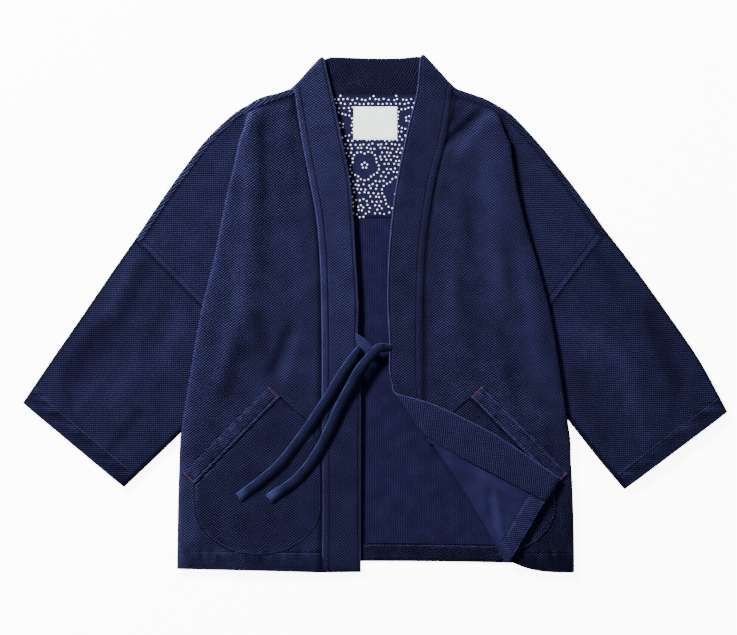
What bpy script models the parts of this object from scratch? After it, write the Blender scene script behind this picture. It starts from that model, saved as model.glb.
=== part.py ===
"""
Sashiko work jacket, laid flat on its back with one lower front corner turned outward.
Every cut piece is a closed cloth wall at its real size.
Metres, +Z up, +Y towards the collar, +X towards the wearer's left.
"""
import math
from collections import namedtuple

import bmesh
import bpy
from mathutils import Vector
from mathutils.bvhtree import BVHTree

MM = 0.001
OBJECT_NAME = "sashiko_work_jacket"

# Cloth
CLOTH = 1.8              # one layer of sashiko cotton
BAND = 4.2               # collar band, cloth folded over its seam allowances
POCKET = 1.6             # patch pocket
BINDING = 2.6            # pocket binding, cloth folded double
LINING = 1.2             # yoke lining
LABEL = 0.8
TIE = 3.0                # tie, a flat sewn tube
SEAM = 0.4               # gap between two pieces sewn edge to edge
REST = 0.3               # gap between a piece and what it lies on

# Heights of the middle of the cloth above the floor
BACK_Z = CLOTH / 2
SHOULDER_ROLL = 4.5      # radius of the shoulder and sleeve folds
SHOULDER_Z = BACK_Z + 2 * SHOULDER_ROLL
FLAP_Z = SHOULDER_Z + 0.1
FLAP_LOW_Z = 8.9         # the drop shoulder sags this low inside the pleat
TUCK_Z = 13.3            # hidden layer of the armhole pleat
SIDE_Z = CLOTH + REST + CLOTH / 2
BODY_Z = 14.0            # fronts and band over the body
HEM_DROP = 1.5
RIDGE_ROLL = 3.0         # radius of the fold at the armhole pleat
SIDE_ROLL = 4.8          # radius of the fold at the side seam
NECK_ROLL = 4.6          # radius of the band's folds beside the neck
CORNER_ROLL = 4.2        # radius of the turned corner's fold
CORNER_SKEW = 20.0       # the seam slants this far along the fold as it goes round
CORNER_GAP = 1.6         # gap beside the band there

# Widths
SHOULDER_WRAP = 10.0     # the back comes over the shoulder to its seam
SHOULDER_GAP = 0.8
HEM_WIDTH = 27.0
HEM_INSET = 16.0         # the back hem strip ends inside the side seams
BINDING_WIDTH = 24.0
TIE_WIDTH = 17.0
LABEL_SIZE = (66.0, 49.5)

# Grid counts
ROWS_PER_SECTION = 2
MAIN, ROLL, TUCK, TUCK_TURN, FLAP = 9, 5, 2, 3, 4
TURN_FLAP, TURN_ROLL = 4, 4
FLAT_TOP = 0.15          # a front stays flat this far below its shoulder seam, in sections
FLAT_DEPTH = 4.0         # and in millimetres
RAISED_BY = 0.8          # its armhole pleat has its full height this many sections down
FOLD_FROM, FOLD_BY = 0.5, 1.8

Shoulder = namedtuple("Shoulder", "right_out right_up left_out left_up")
Front = namedtuple("Front", "seam_out seam_up free_out free_up edge_out edge_up")
Corner = namedtuple("Corner", "fold_out fold_up seam_out seam_up free_out free_up edge_out edge_up")
Sleeve = namedtuple("Sleeve", "top_out top_up under_out under_up")
Fold = namedtuple("Fold", "x0 y0 x1 y1 width height")

# Shoulder line from neck to sleeve seam; out is from the centre back, up from mid length
SHOULDERS = [
    Shoulder(128.2, 337.0, 122.8, 337.2),
    Shoulder(170.0, 322.5, 164.5, 322.5),
    Shoulder(195.5, 310.5, 187.0, 310.5),
    Shoulder(215.0, 298.0, 205.0, 298.5),
    Shoulder(252.5, 262.5, 239.5, 262.5),
    Shoulder(281.0, 226.5, 269.5, 226.5),
    Shoulder(315.5, 178.5, 307.0, 178.5),
    Shoulder(360.0, 112.5, 346.0, 124.5),
]

# Sections down a front: band seam, free edge of the band, outer fold or side seam
RIGHT_FRONT = [
    Front(120.3, 327.5, 74.5, 373.0, 197.0, 301.0),
    Front(116.0, 297.0, 64.0, 327.0, 201.5, 268.0),
    Front(108.0, 247.0, 49.5, 259.0, 210.0, 226.0),
    Front(98.0, 196.0, 38.0, 200.0, 221.5, 178.0),
    Front(88.5, 143.0, 33.0, 146.0, 231.0, 131.0),
    Front(83.0, 80.0, 29.0, 80.0, 242.0, 76.0),
    Front(81.0, 15.0, 25.2, 15.0, 259.0, 8.0),
    Front(80.0, -55.0, 26.0, -50.0, 273.5, -70.5),
    Front(80.0, -120.0, 21.4, -118.0, 283.0, -126.0),
    Front(79.5, -186.0, 21.4, -186.0, 291.0, -186.0),
    Front(79.0, -250.0, 21.4, -250.0, 294.5, -250.0),
    Front(79.0, -320.0, 21.4, -320.0, 296.0, -318.0),
    Front(80.0, -389.3, 21.4, -389.3, 297.0, -384.0),
]
LEFT_FRONT = [
    Front(115.0, 327.5, 66.5, 376.0, 196.0, 294.0),
    Front(112.5, 297.0, 62.0, 331.0, 200.5, 262.0),
    Front(104.0, 252.0, 49.5, 281.0, 206.0, 222.0),
    Front(90.5, 200.0, 35.0, 213.0, 214.5, 176.0),
    Front(81.5, 145.0, 26.0, 155.0, 225.0, 132.0),
    Front(75.0, 85.0, 20.0, 88.0, 240.0, 82.0),
    Front(72.5, 20.0, 18.0, 20.0, 259.0, 12.0),
    Front(72.0, -48.0, 21.0, -46.0, 272.5, -60.0),
    Front(71.8, -105.0, 20.6, -84.0, 281.5, -120.0),
    Front(71.2, -172.0, 25.0, -106.0, 291.0, -185.0),
]
# The turned corner: its fold, the band seam and the band's free edge on top, the side below
CORNER = [
    Corner(72.3, -172.8, 83.6, -187.6, 37.4, -121.6, 291.0, -185.0),
    Corner(84.5, -188.5, 100.0, -200.5, 82.0, -134.5, 293.0, -218.0),
    Corner(104.5, -218.0, 124.0, -214.0, 122.0, -152.0, 295.0, -252.0),
    Corner(130.6, -257.2, 160.0, -233.5, 171.0, -177.0, 296.5, -288.0),
    Corner(158.0, -302.0, 196.0, -252.0, 214.0, -204.0, 297.5, -325.0),
    Corner(179.0, -336.0, 226.0, -267.5, 249.0, -228.0, 298.0, -357.0),
    Corner(201.0, -371.5, 254.6, -282.0, 277.0, -247.5, 298.2, -389.3),
]
UNDERARM_ROW = 7
EXIT_ROW = 9

# Sleeves from armhole seam to cuff: outer fold and under fold
RIGHT_SLEEVE = [
    Sleeve(360.0, 112.5, 177.4, -70.5),
    Sleeve(402.0, 52.0, 227.0, -118.0),
    Sleeve(445.0, -11.0, 278.0, -166.5),
    Sleeve(488.0, -73.0, 330.0, -217.0),
    Sleeve(529.5, -134.5, 377.0, -261.5),
]
LEFT_SLEEVE = [
    Sleeve(346.0, 124.5, 208.9, -60.0),
    Sleeve(393.0, 64.0, 250.0, -111.5),
    Sleeve(441.0, -3.0, 292.0, -164.0),
    Sleeve(487.5, -71.0, 334.0, -217.5),
    Sleeve(529.5, -148.0, 374.0, -265.0),
]

# Band across the back neck: seam edge and free edge, from right to left
NECK_BAND = [
    (-100.0, -66.0, 385.2),
    (-55.0, -38.0, 384.3),
    (0.0, 4.0, 383.0),
    (50.0, 38.0, 383.6),
    (95.0, 58.0, 385.6),
]
NECK_UP = 327.8
NECK_RISE = 5.2
NECK_FROM = 290.0        # rows of the back bend towards the neck seam above this

# Side seams and hem of the back, right then left
BACK_HEM_UP = -381.0
BACK_HEM_ARCH = 7.5
BACK_HALF = 296.0
YOKE_HALF = 140.0
YOKE_UP = 144.0

# Soft folds of the fronts, ends and widths in millimetres
FRONT_FOLDS = [
    Fold(-150.0, 250.0, -138.0, -60.0, 18.0, -2.4),
    Fold(-196.0, 150.0, -222.0, -60.0, 16.0, 1.6),
    Fold(150.0, 300.0, 112.0, 232.0, 12.0, -2.8),
    Fold(165.0, 250.0, 205.0, 20.0, 22.0, 1.8),
    Fold(138.0, 60.0, 142.0, -60.0, 18.0, -1.6),
    Fold(-120.0, -200.0, -110.0, -340.0, 20.0, -1.4),
]
SLEEVE_FOLDS = [
    Fold(-375.0, 20.0, -470.0, -110.0, 18.0, -1.8),
    Fold(-300.0, -60.0, -400.0, -190.0, 24.0, 1.2),
    Fold(330.0, 40.0, 420.0, -170.0, 24.0, 1.2),
    Fold(440.0, -60.0, 490.0, -120.0, 16.0, -1.4),
]

# Pocket on each front: binding line, edge on the band seam, half ellipse below
BINDING_TOP = (151.0, -117.0)
BINDING_LOW = (281.0, -249.0)
POCKET_SEAM_UP = -186.0
POCKET_CENTRE = (176.0, -288.0)
POCKET_RADII = (95.0, 75.0)

# Ties, centre lines
RIGHT_TIE = [(-22.0, -51.0), (-34.0, -68.0), (-52.5, -95.0), (-65.5, -117.0), (-88.0, -152.0),
             (-105.0, -177.0), (-138.0, -220.0), (-163.0, -244.0), (-205.0, -276.0)]
LEFT_TIE = [(32.0, -52.0), (18.0, -52.0), (4.0, -53.5), (-11.0, -69.0), (-26.0, -88.0),
            (-38.0, -110.0), (-53.0, -138.0), (-65.0, -165.0), (-87.0, -209.0),
            (-118.0, -248.0), (-160.0, -278.0)]
TIE_STEP = 9.0
TIE_UNDER_Z = 8.6        # the left tie leaves from under its band
KNOT_Z = BODY_Z + BAND / 2 + TIE * 0.7

COLOURS = {
    "sashiko": (0.020, 0.028, 0.085),
    "inside": (0.016, 0.022, 0.062),
    "lining": (0.030, 0.036, 0.110),
    "label": (0.76, 0.82, 0.81),
}


def lerp(a, b, t):
    """Blend of two numbers or vectors."""
    return a + (b - a) * t


def ease(t):
    """Smooth step from 0 to 1."""
    t = min(max(t, 0.0), 1.0)
    return t * t * (3 - 2 * t)


def through(rows, t):
    """Smooth curve through table rows, at t rows from the first."""
    t = min(max(t, 0.0), len(rows) - 1.0)
    i = min(int(t), len(rows) - 2)
    f = t - i
    b, c = rows[i], rows[i + 1]
    a = rows[i - 1] if i > 0 else [2 * p - q for p, q in zip(b, c)]
    d = rows[i + 2] if i + 2 < len(rows) else [2 * q - p for p, q in zip(b, c)]
    out = []
    for p0, p1, p2, p3 in zip(a, b, c, d):
        out.append(p1 + 0.5 * f * (p2 - p0 + f * (2 * p0 - 5 * p1 + 4 * p2 - p3
                                                  + f * (3 * (p1 - p2) + p3 - p0))))
    return out


def relief(folds, x, y):
    """Height that the soft folds add at a place."""
    total = 0.0
    for fold in folds:
        start = Vector((fold.x0, fold.y0))
        along = Vector((fold.x1, fold.y1)) - start
        offset = Vector((x, y)) - start
        t = offset.dot(along) / along.length_squared
        side = (offset - along * t).length
        ends = ease(t / 0.3 + 0.5) * ease((1 - t) / 0.3 + 0.5)
        total += fold.height * math.exp(-(side / fold.width) ** 2) * ends
    return total


def turn_steps(count):
    """Angles of a half turn, without its start."""
    return [math.pi * (k + 1) / count for k in range(count)]


def finish(obj, material, smooth=True):
    """Give a solid its material, its shading and its place in the collection."""
    obj.data.materials.clear()
    obj.data.materials.append(MATERIALS[material])
    if smooth:
        obj.data.shade_smooth()
    return obj


def new_object(name, bm, collection):
    """Object from a finished bmesh."""
    mesh = bpy.data.meshes.new(name)
    bm.to_mesh(mesh)
    bm.free()
    obj = bpy.data.objects.new(name, mesh)
    collection.objects.link(obj)
    return obj


def cloth(name, grid, material, thickness=CLOTH, keep=None, ring=False, even=True):
    """A cloth wall: a sheet through the grid's points with its thickness on both sides."""
    bm = bmesh.new()
    verts = [[bm.verts.new(point * MM) for point in row] for row in grid]
    count = len(grid[0])
    for i in range(len(grid) - 1):
        for j in range(count if ring else count - 1):
            if keep is None or keep(i, j):
                k = (j + 1) % count
                bm.faces.new((verts[i][j], verts[i][k], verts[i + 1][k], verts[i + 1][j]))
    bmesh.ops.remove_doubles(bm, verts=bm.verts, dist=1e-6)
    bmesh.ops.delete(bm, geom=[v for v in bm.verts if not v.link_faces], context="VERTS")
    bmesh.ops.recalc_face_normals(bm, faces=bm.faces)
    bmesh.ops.triangulate(bm, faces=bm.faces, quad_method="FIXED")
    obj = new_object(name, bm, PIECES)
    wall = obj.modifiers.new("wall", "SOLIDIFY")
    wall.thickness = thickness * MM
    wall.offset = 0.0
    wall.use_even_offset = even
    return finish(obj, material)


def prism(name, outline, low, high, collection):
    """Upright block over a flat outline."""
    bm = bmesh.new()
    base = bm.faces.new([bm.verts.new(Vector((x, y, low)) * MM) for x, y in outline])
    top = bmesh.ops.extrude_face_region(bm, geom=[base])["geom"]
    lift = Vector((0, 0, high - low)) * MM
    bmesh.ops.translate(bm, vec=lift, verts=[v for v in top if isinstance(v, bmesh.types.BMVert)])
    bmesh.ops.recalc_face_normals(bm, faces=bm.faces)
    return new_object(name, bm, collection)


def laid_on(name, grid, outline, material, thickness):
    """A piece that lies on a panel: the panel's points moved up and cut to an outline."""
    lift = CLOTH / 2 + REST + thickness / 2
    obj = cloth(name, [[p + Vector((0, 0, lift)) for p in row] for row in grid], material, thickness, even=False)
    cutter = prism(name + "_outline", outline, -20.0, 60.0, CUTTERS)
    cutter.hide_render = True
    cutter.display_type = "WIRE"
    cut = obj.modifiers.new("outline", "BOOLEAN")
    cut.operation = "INTERSECT"
    cut.object = cutter
    return obj


def loft(name, sections, material):
    """Closed solid through rings of points."""
    bm = bmesh.new()
    rings = [[bm.verts.new(point * MM) for point in ring] for ring in sections]
    count = len(rings[0])
    for a, b in zip(rings, rings[1:]):
        for j in range(count):
            k = (j + 1) % count
            bm.faces.new((a[j], a[k], b[k], b[j]))
    bm.faces.new(rings[0])
    bm.faces.new(rings[-1])
    bmesh.ops.recalc_face_normals(bm, faces=bm.faces)
    return finish(new_object(name, bm, PIECES), material)


def strip(name, rows, thickness, material):
    """Flat strip with rounded edges through rows of (one edge, other edge)."""
    profile = [(0.0, -0.55), (0.0, 0.55), (0.06, 1.0), (0.94, 1.0),
               (1.0, 0.5), (1.0, -0.5), (0.94, -1.0), (0.06, -1.0)]
    middles = [(a + b) / 2 for a, b in rows]
    sections = []
    for i, (a, b) in enumerate(rows):
        tangent = middles[min(i + 1, len(rows) - 1)] - middles[max(i - 1, 0)]
        normal = (b - a).cross(tangent).normalized()
        sections.append([lerp(a, b, c) + normal * (h * thickness / 2) for c, h in profile])
    return loft(name, sections, material)


def shoulder_point(side, s):
    """Place on the shoulder silhouette, s from neck 0 to sleeve 1, and the way inward."""
    pick = (0, 1) if side < 0 else (2, 3)
    t = s * (len(SHOULDERS) - 1)
    here = through(SHOULDERS, t)
    ahead = through(SHOULDERS, t + 0.05)
    behind = through(SHOULDERS, t - 0.05)
    place = Vector((here[pick[0]], here[pick[1]]))
    along = Vector((ahead[pick[0]] - behind[pick[0]], ahead[pick[1]] - behind[pick[1]]))
    inward = Vector((along.y, -along.x)).normalized()
    if s >= 1.0:
        first = (RIGHT_SLEEVE if side < 0 else LEFT_SLEEVE)[0]
        inward = Vector((first.under_out - first.top_out, first.under_up - first.top_up)).normalized()
    return place, inward


def column_stations():
    """Where each column of a front starts on the shoulder line."""
    pleat = 2.05 / (len(SHOULDERS) - 1)
    half = 0.28 / (len(SHOULDERS) - 1)
    hidden = ROLL + TUCK + TUCK_TURN
    main = [(pleat - half) * a / MAIN for a in range(MAIN + 1)]
    turn = [lerp(pleat - half, pleat + half, (a + 1) / hidden) for a in range(hidden)]
    flap = [lerp(pleat + half, 1.0, (a + 1) / FLAP) for a in range(FLAP)]
    return main, turn, flap


def seam_height(up):
    """Height of the cloth along the band seam."""
    return BODY_Z - 2.6 * ease((up - 250) / 75) - HEM_DROP * ease((-150 - up) / 200)


def stations(sections):
    """Rows of a front: evenly down its table, with one more just below the shoulder seam."""
    even = [i / ROWS_PER_SECTION for i in range(sections * ROWS_PER_SECTION + 1)]
    return [0.0, FLAT_TOP] + even[1:]


def front_row(side, table, t):
    """Points of one row of a front, from band seam to armhole seam or side seam."""
    row = Front(*through(table, t)[:6])
    sleeve = RIGHT_SLEEVE if side < 0 else LEFT_SLEEVE
    underarm = Vector((sleeve[0].under_out, sleeve[0].under_up))
    pleat_top = Vector((table[0].edge_out, table[0].edge_up))
    exit_row = table[EXIT_ROW]
    main_s, turn_s, flap_s = column_stations()
    below_sleeve = ease((exit_row.edge_up - 4 - row.edge_up) / 38)
    under_z = lerp(TUCK_Z, SIDE_Z, below_sleeve)
    roll = lerp(RIDGE_ROLL, SIDE_ROLL, below_sleeve)
    ridge_z = under_z + 2 * roll
    raised = ease((t - FLAT_TOP) / (RAISED_BY - FLAT_TOP))
    lowered = ease((t - FLAT_TOP) / (1.0 - FLAT_TOP))
    folded_in = ease((t - FOLD_FROM) / (FOLD_BY - FOLD_FROM))
    seam_z = seam_height(row.seam_up)

    def shoulder(s):
        place, inward = shoulder_point(side, s)
        return place + inward * (SHOULDER_WRAP + SHOULDER_GAP + FLAT_DEPTH * min(t / FLAT_TOP, 1.0))

    def place(out_up, z):
        return Vector((side * out_up.x, out_up.y, z))

    def opening(top, flat):
        return Vector((lerp(top.x, flat.x, folded_in), lerp(top.y, flat.y, lowered)))

    start = Vector((row.seam_out + SEAM, row.seam_up))
    ridge_end = Vector((row.edge_out - roll, row.edge_up))
    main_end = opening(shoulder(main_s[-1]), ridge_end)
    top_start = Vector((table[0].seam_out + SEAM, table[0].seam_up))
    points = []
    for a, s in enumerate(main_s):
        u = a / MAIN
        chord = lerp(top_start, shoulder(main_s[-1]), u)
        on_line = shoulder(s) if a else top_start
        flat = lerp(start, main_end, u) + (on_line - chord) * (1 - ease(t / 2))
        window = ease(u / 0.2) * ease((1 - u) / 0.2)
        z = lerp(seam_z, ridge_z, u ** 1.8) + relief(FRONT_FOLDS, side * flat.x, flat.y) * window
        points.append(place(flat, lerp(SHOULDER_Z, z, raised)))

    # The way from the underarm end of the pleat to where the sleeve leaves the side
    depth = (pleat_top.y - row.edge_up) / (pleat_top.y - underarm.y)
    if depth <= 1.0:
        tuck_out = lerp(pleat_top.x, underarm.x, depth)
    else:
        way = (underarm.y - row.edge_up) / (underarm.y - exit_row.edge_up)
        tuck_out = min(lerp(underarm.x, exit_row.edge_out, way), row.edge_out - roll - 4)
    hidden = []
    for angle in turn_steps(ROLL):
        hidden.append((Vector((ridge_end.x + roll * math.sin(angle), row.edge_up)),
                       under_z + roll + roll * math.cos(angle)))
    for a in range(TUCK):
        hidden.append((Vector((lerp(ridge_end.x, tuck_out, (a + 1) / TUCK), row.edge_up)), under_z))
    flap_z = lerp(FLAP_LOW_Z, FLAP_Z, ease((depth - 0.8) / 0.2))
    turn = (TUCK_Z - flap_z) / 2
    for angle in turn_steps(TUCK_TURN):
        hidden.append((Vector((tuck_out - turn * math.sin(angle), row.edge_up)),
                       flap_z + turn + turn * math.cos(angle)))
    for k, (flat, z) in enumerate(hidden):
        u = (k + 1) / len(hidden)
        top = lerp(shoulder(main_s[-1]), shoulder(turn_s[-1]), u)
        slope_z = lerp(ridge_z, flap_z, u)
        points.append(place(opening(top, flat), lerp(SHOULDER_Z, lerp(slope_z, z, folded_in), raised)))

    flap_start = opening(shoulder(turn_s[-1]), Vector((tuck_out, row.edge_up)))
    flap_end = lerp(shoulder(1.0), underarm, min(depth, 1.0))
    top_flap = shoulder(turn_s[-1])
    for a, s in enumerate(flap_s):
        u = (a + 1) / FLAP
        bow = (shoulder(s) - lerp(top_flap, shoulder(1.0), u)) * (1 - ease(t / 3))
        flat = lerp(flap_start, flap_end, u) + bow
        points.append(place(flat, lerp(SHOULDER_Z, lerp(flap_z, FLAP_Z, ease(u)), raised)))
    return points


def corner_way(t):
    """Way along the turned corner's fold, in plan."""
    ahead = through(CORNER, t + 0.1)
    behind = through(CORNER, t - 0.1)
    return Vector((ahead[0] - behind[0], ahead[1] - behind[1], 0)).normalized()


def fold_over(point, t):
    """Half turn at the corner's fold, from the front up onto itself, t sections along."""
    along = corner_way(t)
    outward = Vector((along.y, -along.x, 0))
    skew = CORNER_SKEW * max(1 - t / 3, 0.0)
    turn = []
    for angle in turn_steps(TURN_ROLL):
        lift = Vector((0, 0, CORNER_ROLL * (1 - math.cos(angle))))
        turn.append(point + outward * (CORNER_ROLL * math.sin(angle)) + along * (skew * angle / math.pi) + lift)
    return turn


def left_front_grid():
    """Rows of the left front with its corner turned over."""
    grid = []
    blank = TURN_FLAP + TURN_ROLL
    for t in stations(len(LEFT_FRONT) - 1)[:-1]:
        points = front_row(1, LEFT_FRONT, t)
        grid.append([points[0]] * blank + points)
    table = LEFT_FRONT[:-1] + [Front(c.fold_out, c.fold_up, 0, 0, c.edge_out, c.edge_up) for c in CORNER]
    for i in range((len(CORNER) - 1) * ROWS_PER_SECTION + 1):
        t = i / ROWS_PER_SECTION
        row = Corner(*through(CORNER, t))
        points = front_row(1, table, len(LEFT_FRONT) - 1 + t)
        drop = (row.edge_up - row.fold_up) * ease(t - (len(CORNER) - 2))
        for a in range(1, MAIN):
            points[a].y += drop * (1 - (1 - a / MAIN) ** 3 - a / MAIN)
        turn = fold_over(points[0], t)
        ahead, behind = Corner(*through(CORNER, t + 0.1)), Corner(*through(CORNER, t - 0.1))
        along = Vector((ahead.seam_out - behind.seam_out, ahead.seam_up - behind.seam_up)).normalized()
        gap = lerp(CORNER_GAP, SEAM, ease(t / 2))
        end = Vector((row.seam_out + along.y * gap, row.seam_up - along.x * gap, turn[-1].z))
        if i == 0:
            shift = end - turn[-1]
            turn = [point + shift * ((k + 1) / TURN_ROLL) for k, point in enumerate(turn)]
        flap = [lerp(end, turn[-1], a / TURN_FLAP) for a in range(TURN_FLAP)]
        grid.append(flap + turn[::-1] + points)
    return grid


def sleeve_grid(side, table):
    """Rings round a flattened sleeve, from armhole seam to cuff."""
    flats, turns, tops = 6, 5, 8
    rows = (len(table) - 1) * ROWS_PER_SECTION
    start, end = table[0], table[-1]
    along = Vector((end.top_out - start.top_out, end.top_up - start.top_up)).normalized()
    grid = []
    for i in range(rows + 1):
        row = Sleeve(*through(table, i / ROWS_PER_SECTION))
        shift = along * SEAM if i == 0 else along * 0.0
        top = Vector((row.top_out, row.top_up)) + shift
        under = Vector((row.under_out, row.under_up)) + shift
        across = (under - top).normalized()
        inner_top = top + across * (SHOULDER_ROLL + CLOTH / 2)
        inner_under = under - across * (SHOULDER_ROLL + CLOTH / 2)
        ring = []
        for a in range(flats + 1):
            ring.append((lerp(inner_top, inner_under, a / flats), BACK_Z))
        for angle in turn_steps(turns):
            ring.append((inner_under + across * (SHOULDER_ROLL * math.sin(angle)),
                         BACK_Z + SHOULDER_ROLL * (1 - math.cos(angle))))
        for a in range(1, tops + 1):
            flat = lerp(inner_under, inner_top, a / tops)
            crown = ease((flat.x - 305) / 60) * ease((1 - a / tops) / 0.2) * ease(a / tops / 0.2)
            z = SHOULDER_Z + crown * (2.2 + relief(SLEEVE_FOLDS, side * flat.x, flat.y))
            ring.append((flat, z))
        for angle in turn_steps(turns)[:-1]:
            ring.append((inner_top - across * (SHOULDER_ROLL * math.sin(angle)),
                         SHOULDER_Z - SHOULDER_ROLL * (1 - math.cos(angle))))
        grid.append([Vector((side * flat.x, flat.y, z)) for flat, z in ring])
    return grid


def neck_seam(x):
    """How far up the back neck seam runs."""
    return NECK_UP + NECK_RISE * (abs(x) / 121.0) ** 4


def back_grid():
    """Rows of the back from hem to neck; above the sleeve seams both ends roll over the shoulders."""
    rolls, columns = 4, 6
    main_s, turn_s, flap_s = column_stations()
    lower = []
    right, left = RIGHT_SLEEVE[0], LEFT_SLEEVE[0]
    right_exit, left_exit = RIGHT_FRONT[EXIT_ROW], LEFT_FRONT[EXIT_ROW]
    ends = [
        ((-BACK_HALF, BACK_HEM_UP), (BACK_HALF + 1, BACK_HEM_UP)),
        ((-BACK_HALF + 0.6, -330.0), (BACK_HALF, -330.0)),
        ((-BACK_HALF + 2.5, -260.0), (BACK_HALF - 1.5, -250.0)),
        ((2.0 - right_exit.edge_out, right_exit.edge_up - 3), (left_exit.edge_out - 5, left_exit.edge_up + 12)),
        ((-right.under_out + 0.4, right.under_up - 0.8), (left.under_out - 0.4, left.under_up - 0.8)),
    ]
    for k, (low, high) in enumerate(ends):
        arch = BACK_HEM_ARCH * (1 - k / 1.0) if k < 1 else 0.0
        row = []
        for a in range(columns + 1):
            u = a / columns
            x = lerp(low[0], high[0], u)
            row.append(Vector((x, lerp(low[1], high[1], u) + arch * math.sin(math.pi * u) ** 0.6, BACK_Z)))
        lower.append([row[0]] * (rolls + 1) + row + [row[-1]] * (rolls + 1))
    upper = []
    neck_top = 332.6
    for s in flap_s[::-1] + turn_s[-1:] + main_s[::-1]:
        halves = []
        for side in (-1, 1):
            place, inward = shoulder_point(side, s)
            start = place + inward * (SHOULDER_ROLL + CLOTH / 2)
            points = [Vector((side * start.x, start.y, BACK_Z))]
            way = Vector((side * inward.x, inward.y, 0))
            for angle in turn_steps(rolls):
                points.append(points[0] - way * (SHOULDER_ROLL * math.sin(angle))
                              + Vector((0, 0, SHOULDER_ROLL * (1 - math.cos(angle)))))
            edge = place + inward * SHOULDER_WRAP
            points.append(Vector((side * edge.x, edge.y, SHOULDER_Z)))
            halves.append(points)
        low, high = halves[0][0], halves[1][0]
        row = []
        for a in range(columns + 1):
            point = lerp(low, high, a / columns)
            if 0 < a < columns and point.y > NECK_FROM:
                neck = neck_seam(point.x) - SEAM - NECK_FROM
                point.y = NECK_FROM + (point.y - NECK_FROM) * neck / (neck_top - NECK_FROM)
            row.append(point)
        upper.append(halves[0][:0:-1] + row + halves[1][1:])
    return lower + upper, len(lower), rolls + 1


def neck_band_rows():
    """Band rows from fold to fold across the back neck."""
    rows = []
    z = BAND / 2 + 0.1
    for seam_x, free_x, free_up in NECK_BAND:
        rows.append((Vector((seam_x, neck_seam(seam_x), z)), Vector((free_x, free_up, z))))
    return rows


def neck_fold(side):
    """Band rows round the fold beside the neck, from the front down to the back."""
    corner = (-121.5, 333.0, -76.5, 382.0) if side < 0 else (116.2, 333.0, 68.2, 385.8)
    a, b = Vector((*corner[:2], 0)), Vector((*corner[2:], 0))
    along = (b - a).normalized()
    outward = Vector((along.y, -along.x, 0)) * side
    top = seam_height(corner[1])
    rows = []
    for angle in [0.0] + turn_steps(5):
        shift = outward * (NECK_ROLL * math.sin(angle)) + Vector((0, 0, top - NECK_ROLL * (1 - math.cos(angle))))
        rows.append((a + shift, b + shift))
    return rows


def front_band_rows(side, table, last):
    """Band rows down a front, on the same stations as the front's own rows."""
    rows = []
    for i in range(last * ROWS_PER_SECTION + 1):
        row = Front(*through(table, i / ROWS_PER_SECTION))
        z = seam_height(row.seam_up)
        rows.append((Vector((side * row.seam_out, row.seam_up, z)),
                     Vector((side * row.free_out, row.free_up, z + 0.6 * ease((300 - row.seam_up) / 100)))))
    return rows


def band_rows():
    """The whole collar band, from the right hem round the neck to the turned corner's hem."""
    rows = front_band_rows(-1, RIGHT_FRONT, len(RIGHT_FRONT) - 1)[::-1]
    rows += neck_fold(-1)
    rows += neck_band_rows()
    rows += neck_fold(1)[::-1]
    rows += front_band_rows(1, LEFT_FRONT, len(LEFT_FRONT) - 1)
    seam, free = rows[-1]
    rows += list(zip(fold_over(seam, 0.0), fold_over(free, 0.0)))
    top = rows[-1][0].z
    for i in range(1, (len(CORNER) - 1) * ROWS_PER_SECTION + 1):
        row = Corner(*through(CORNER, i / ROWS_PER_SECTION))
        tip = 1.6 * ease((i / ROWS_PER_SECTION - 3) / 3)
        rows.append((Vector((row.seam_out, row.seam_up, top)),
                     Vector((row.free_out, row.free_up, top - tip))))
    return rows


def pocket_outline(side):
    """Patch pocket below its binding, cut on one side by the band seam."""
    top, low = Vector(BINDING_TOP), Vector(BINDING_LOW)
    along = (low - top).normalized()
    down = Vector((along.y, -along.x)) * (1 if along.x > 0 else -1)
    edge_top = top + down * (BINDING_WIDTH / 2 + SEAM)
    edge_low = low + down * (BINDING_WIDTH / 2 + SEAM)
    cx, cy = POCKET_CENTRE
    rx, ry = POCKET_RADII
    outline = [edge_low, edge_top, edge_top + Vector((-22.0, -17.0)), Vector((cx - rx, POCKET_SEAM_UP))]
    for k in range(11):
        angle = math.pi * (1 + k / 10)
        outline.append(Vector((cx + rx * math.cos(angle), cy + ry * math.sin(angle))))
    return [(side * p.x, p.y) for p in outline]


def binding_outline(side):
    """Slanted strip over the pocket's mouth."""
    top, low = Vector(BINDING_TOP), Vector(BINDING_LOW)
    along = (low - top).normalized()
    half = Vector((along.y, -along.x)) * (BINDING_WIDTH / 2)
    corners = [top + half, low + half, low - half, top - half]
    return [(side * p.x, p.y) for p in corners]


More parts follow.
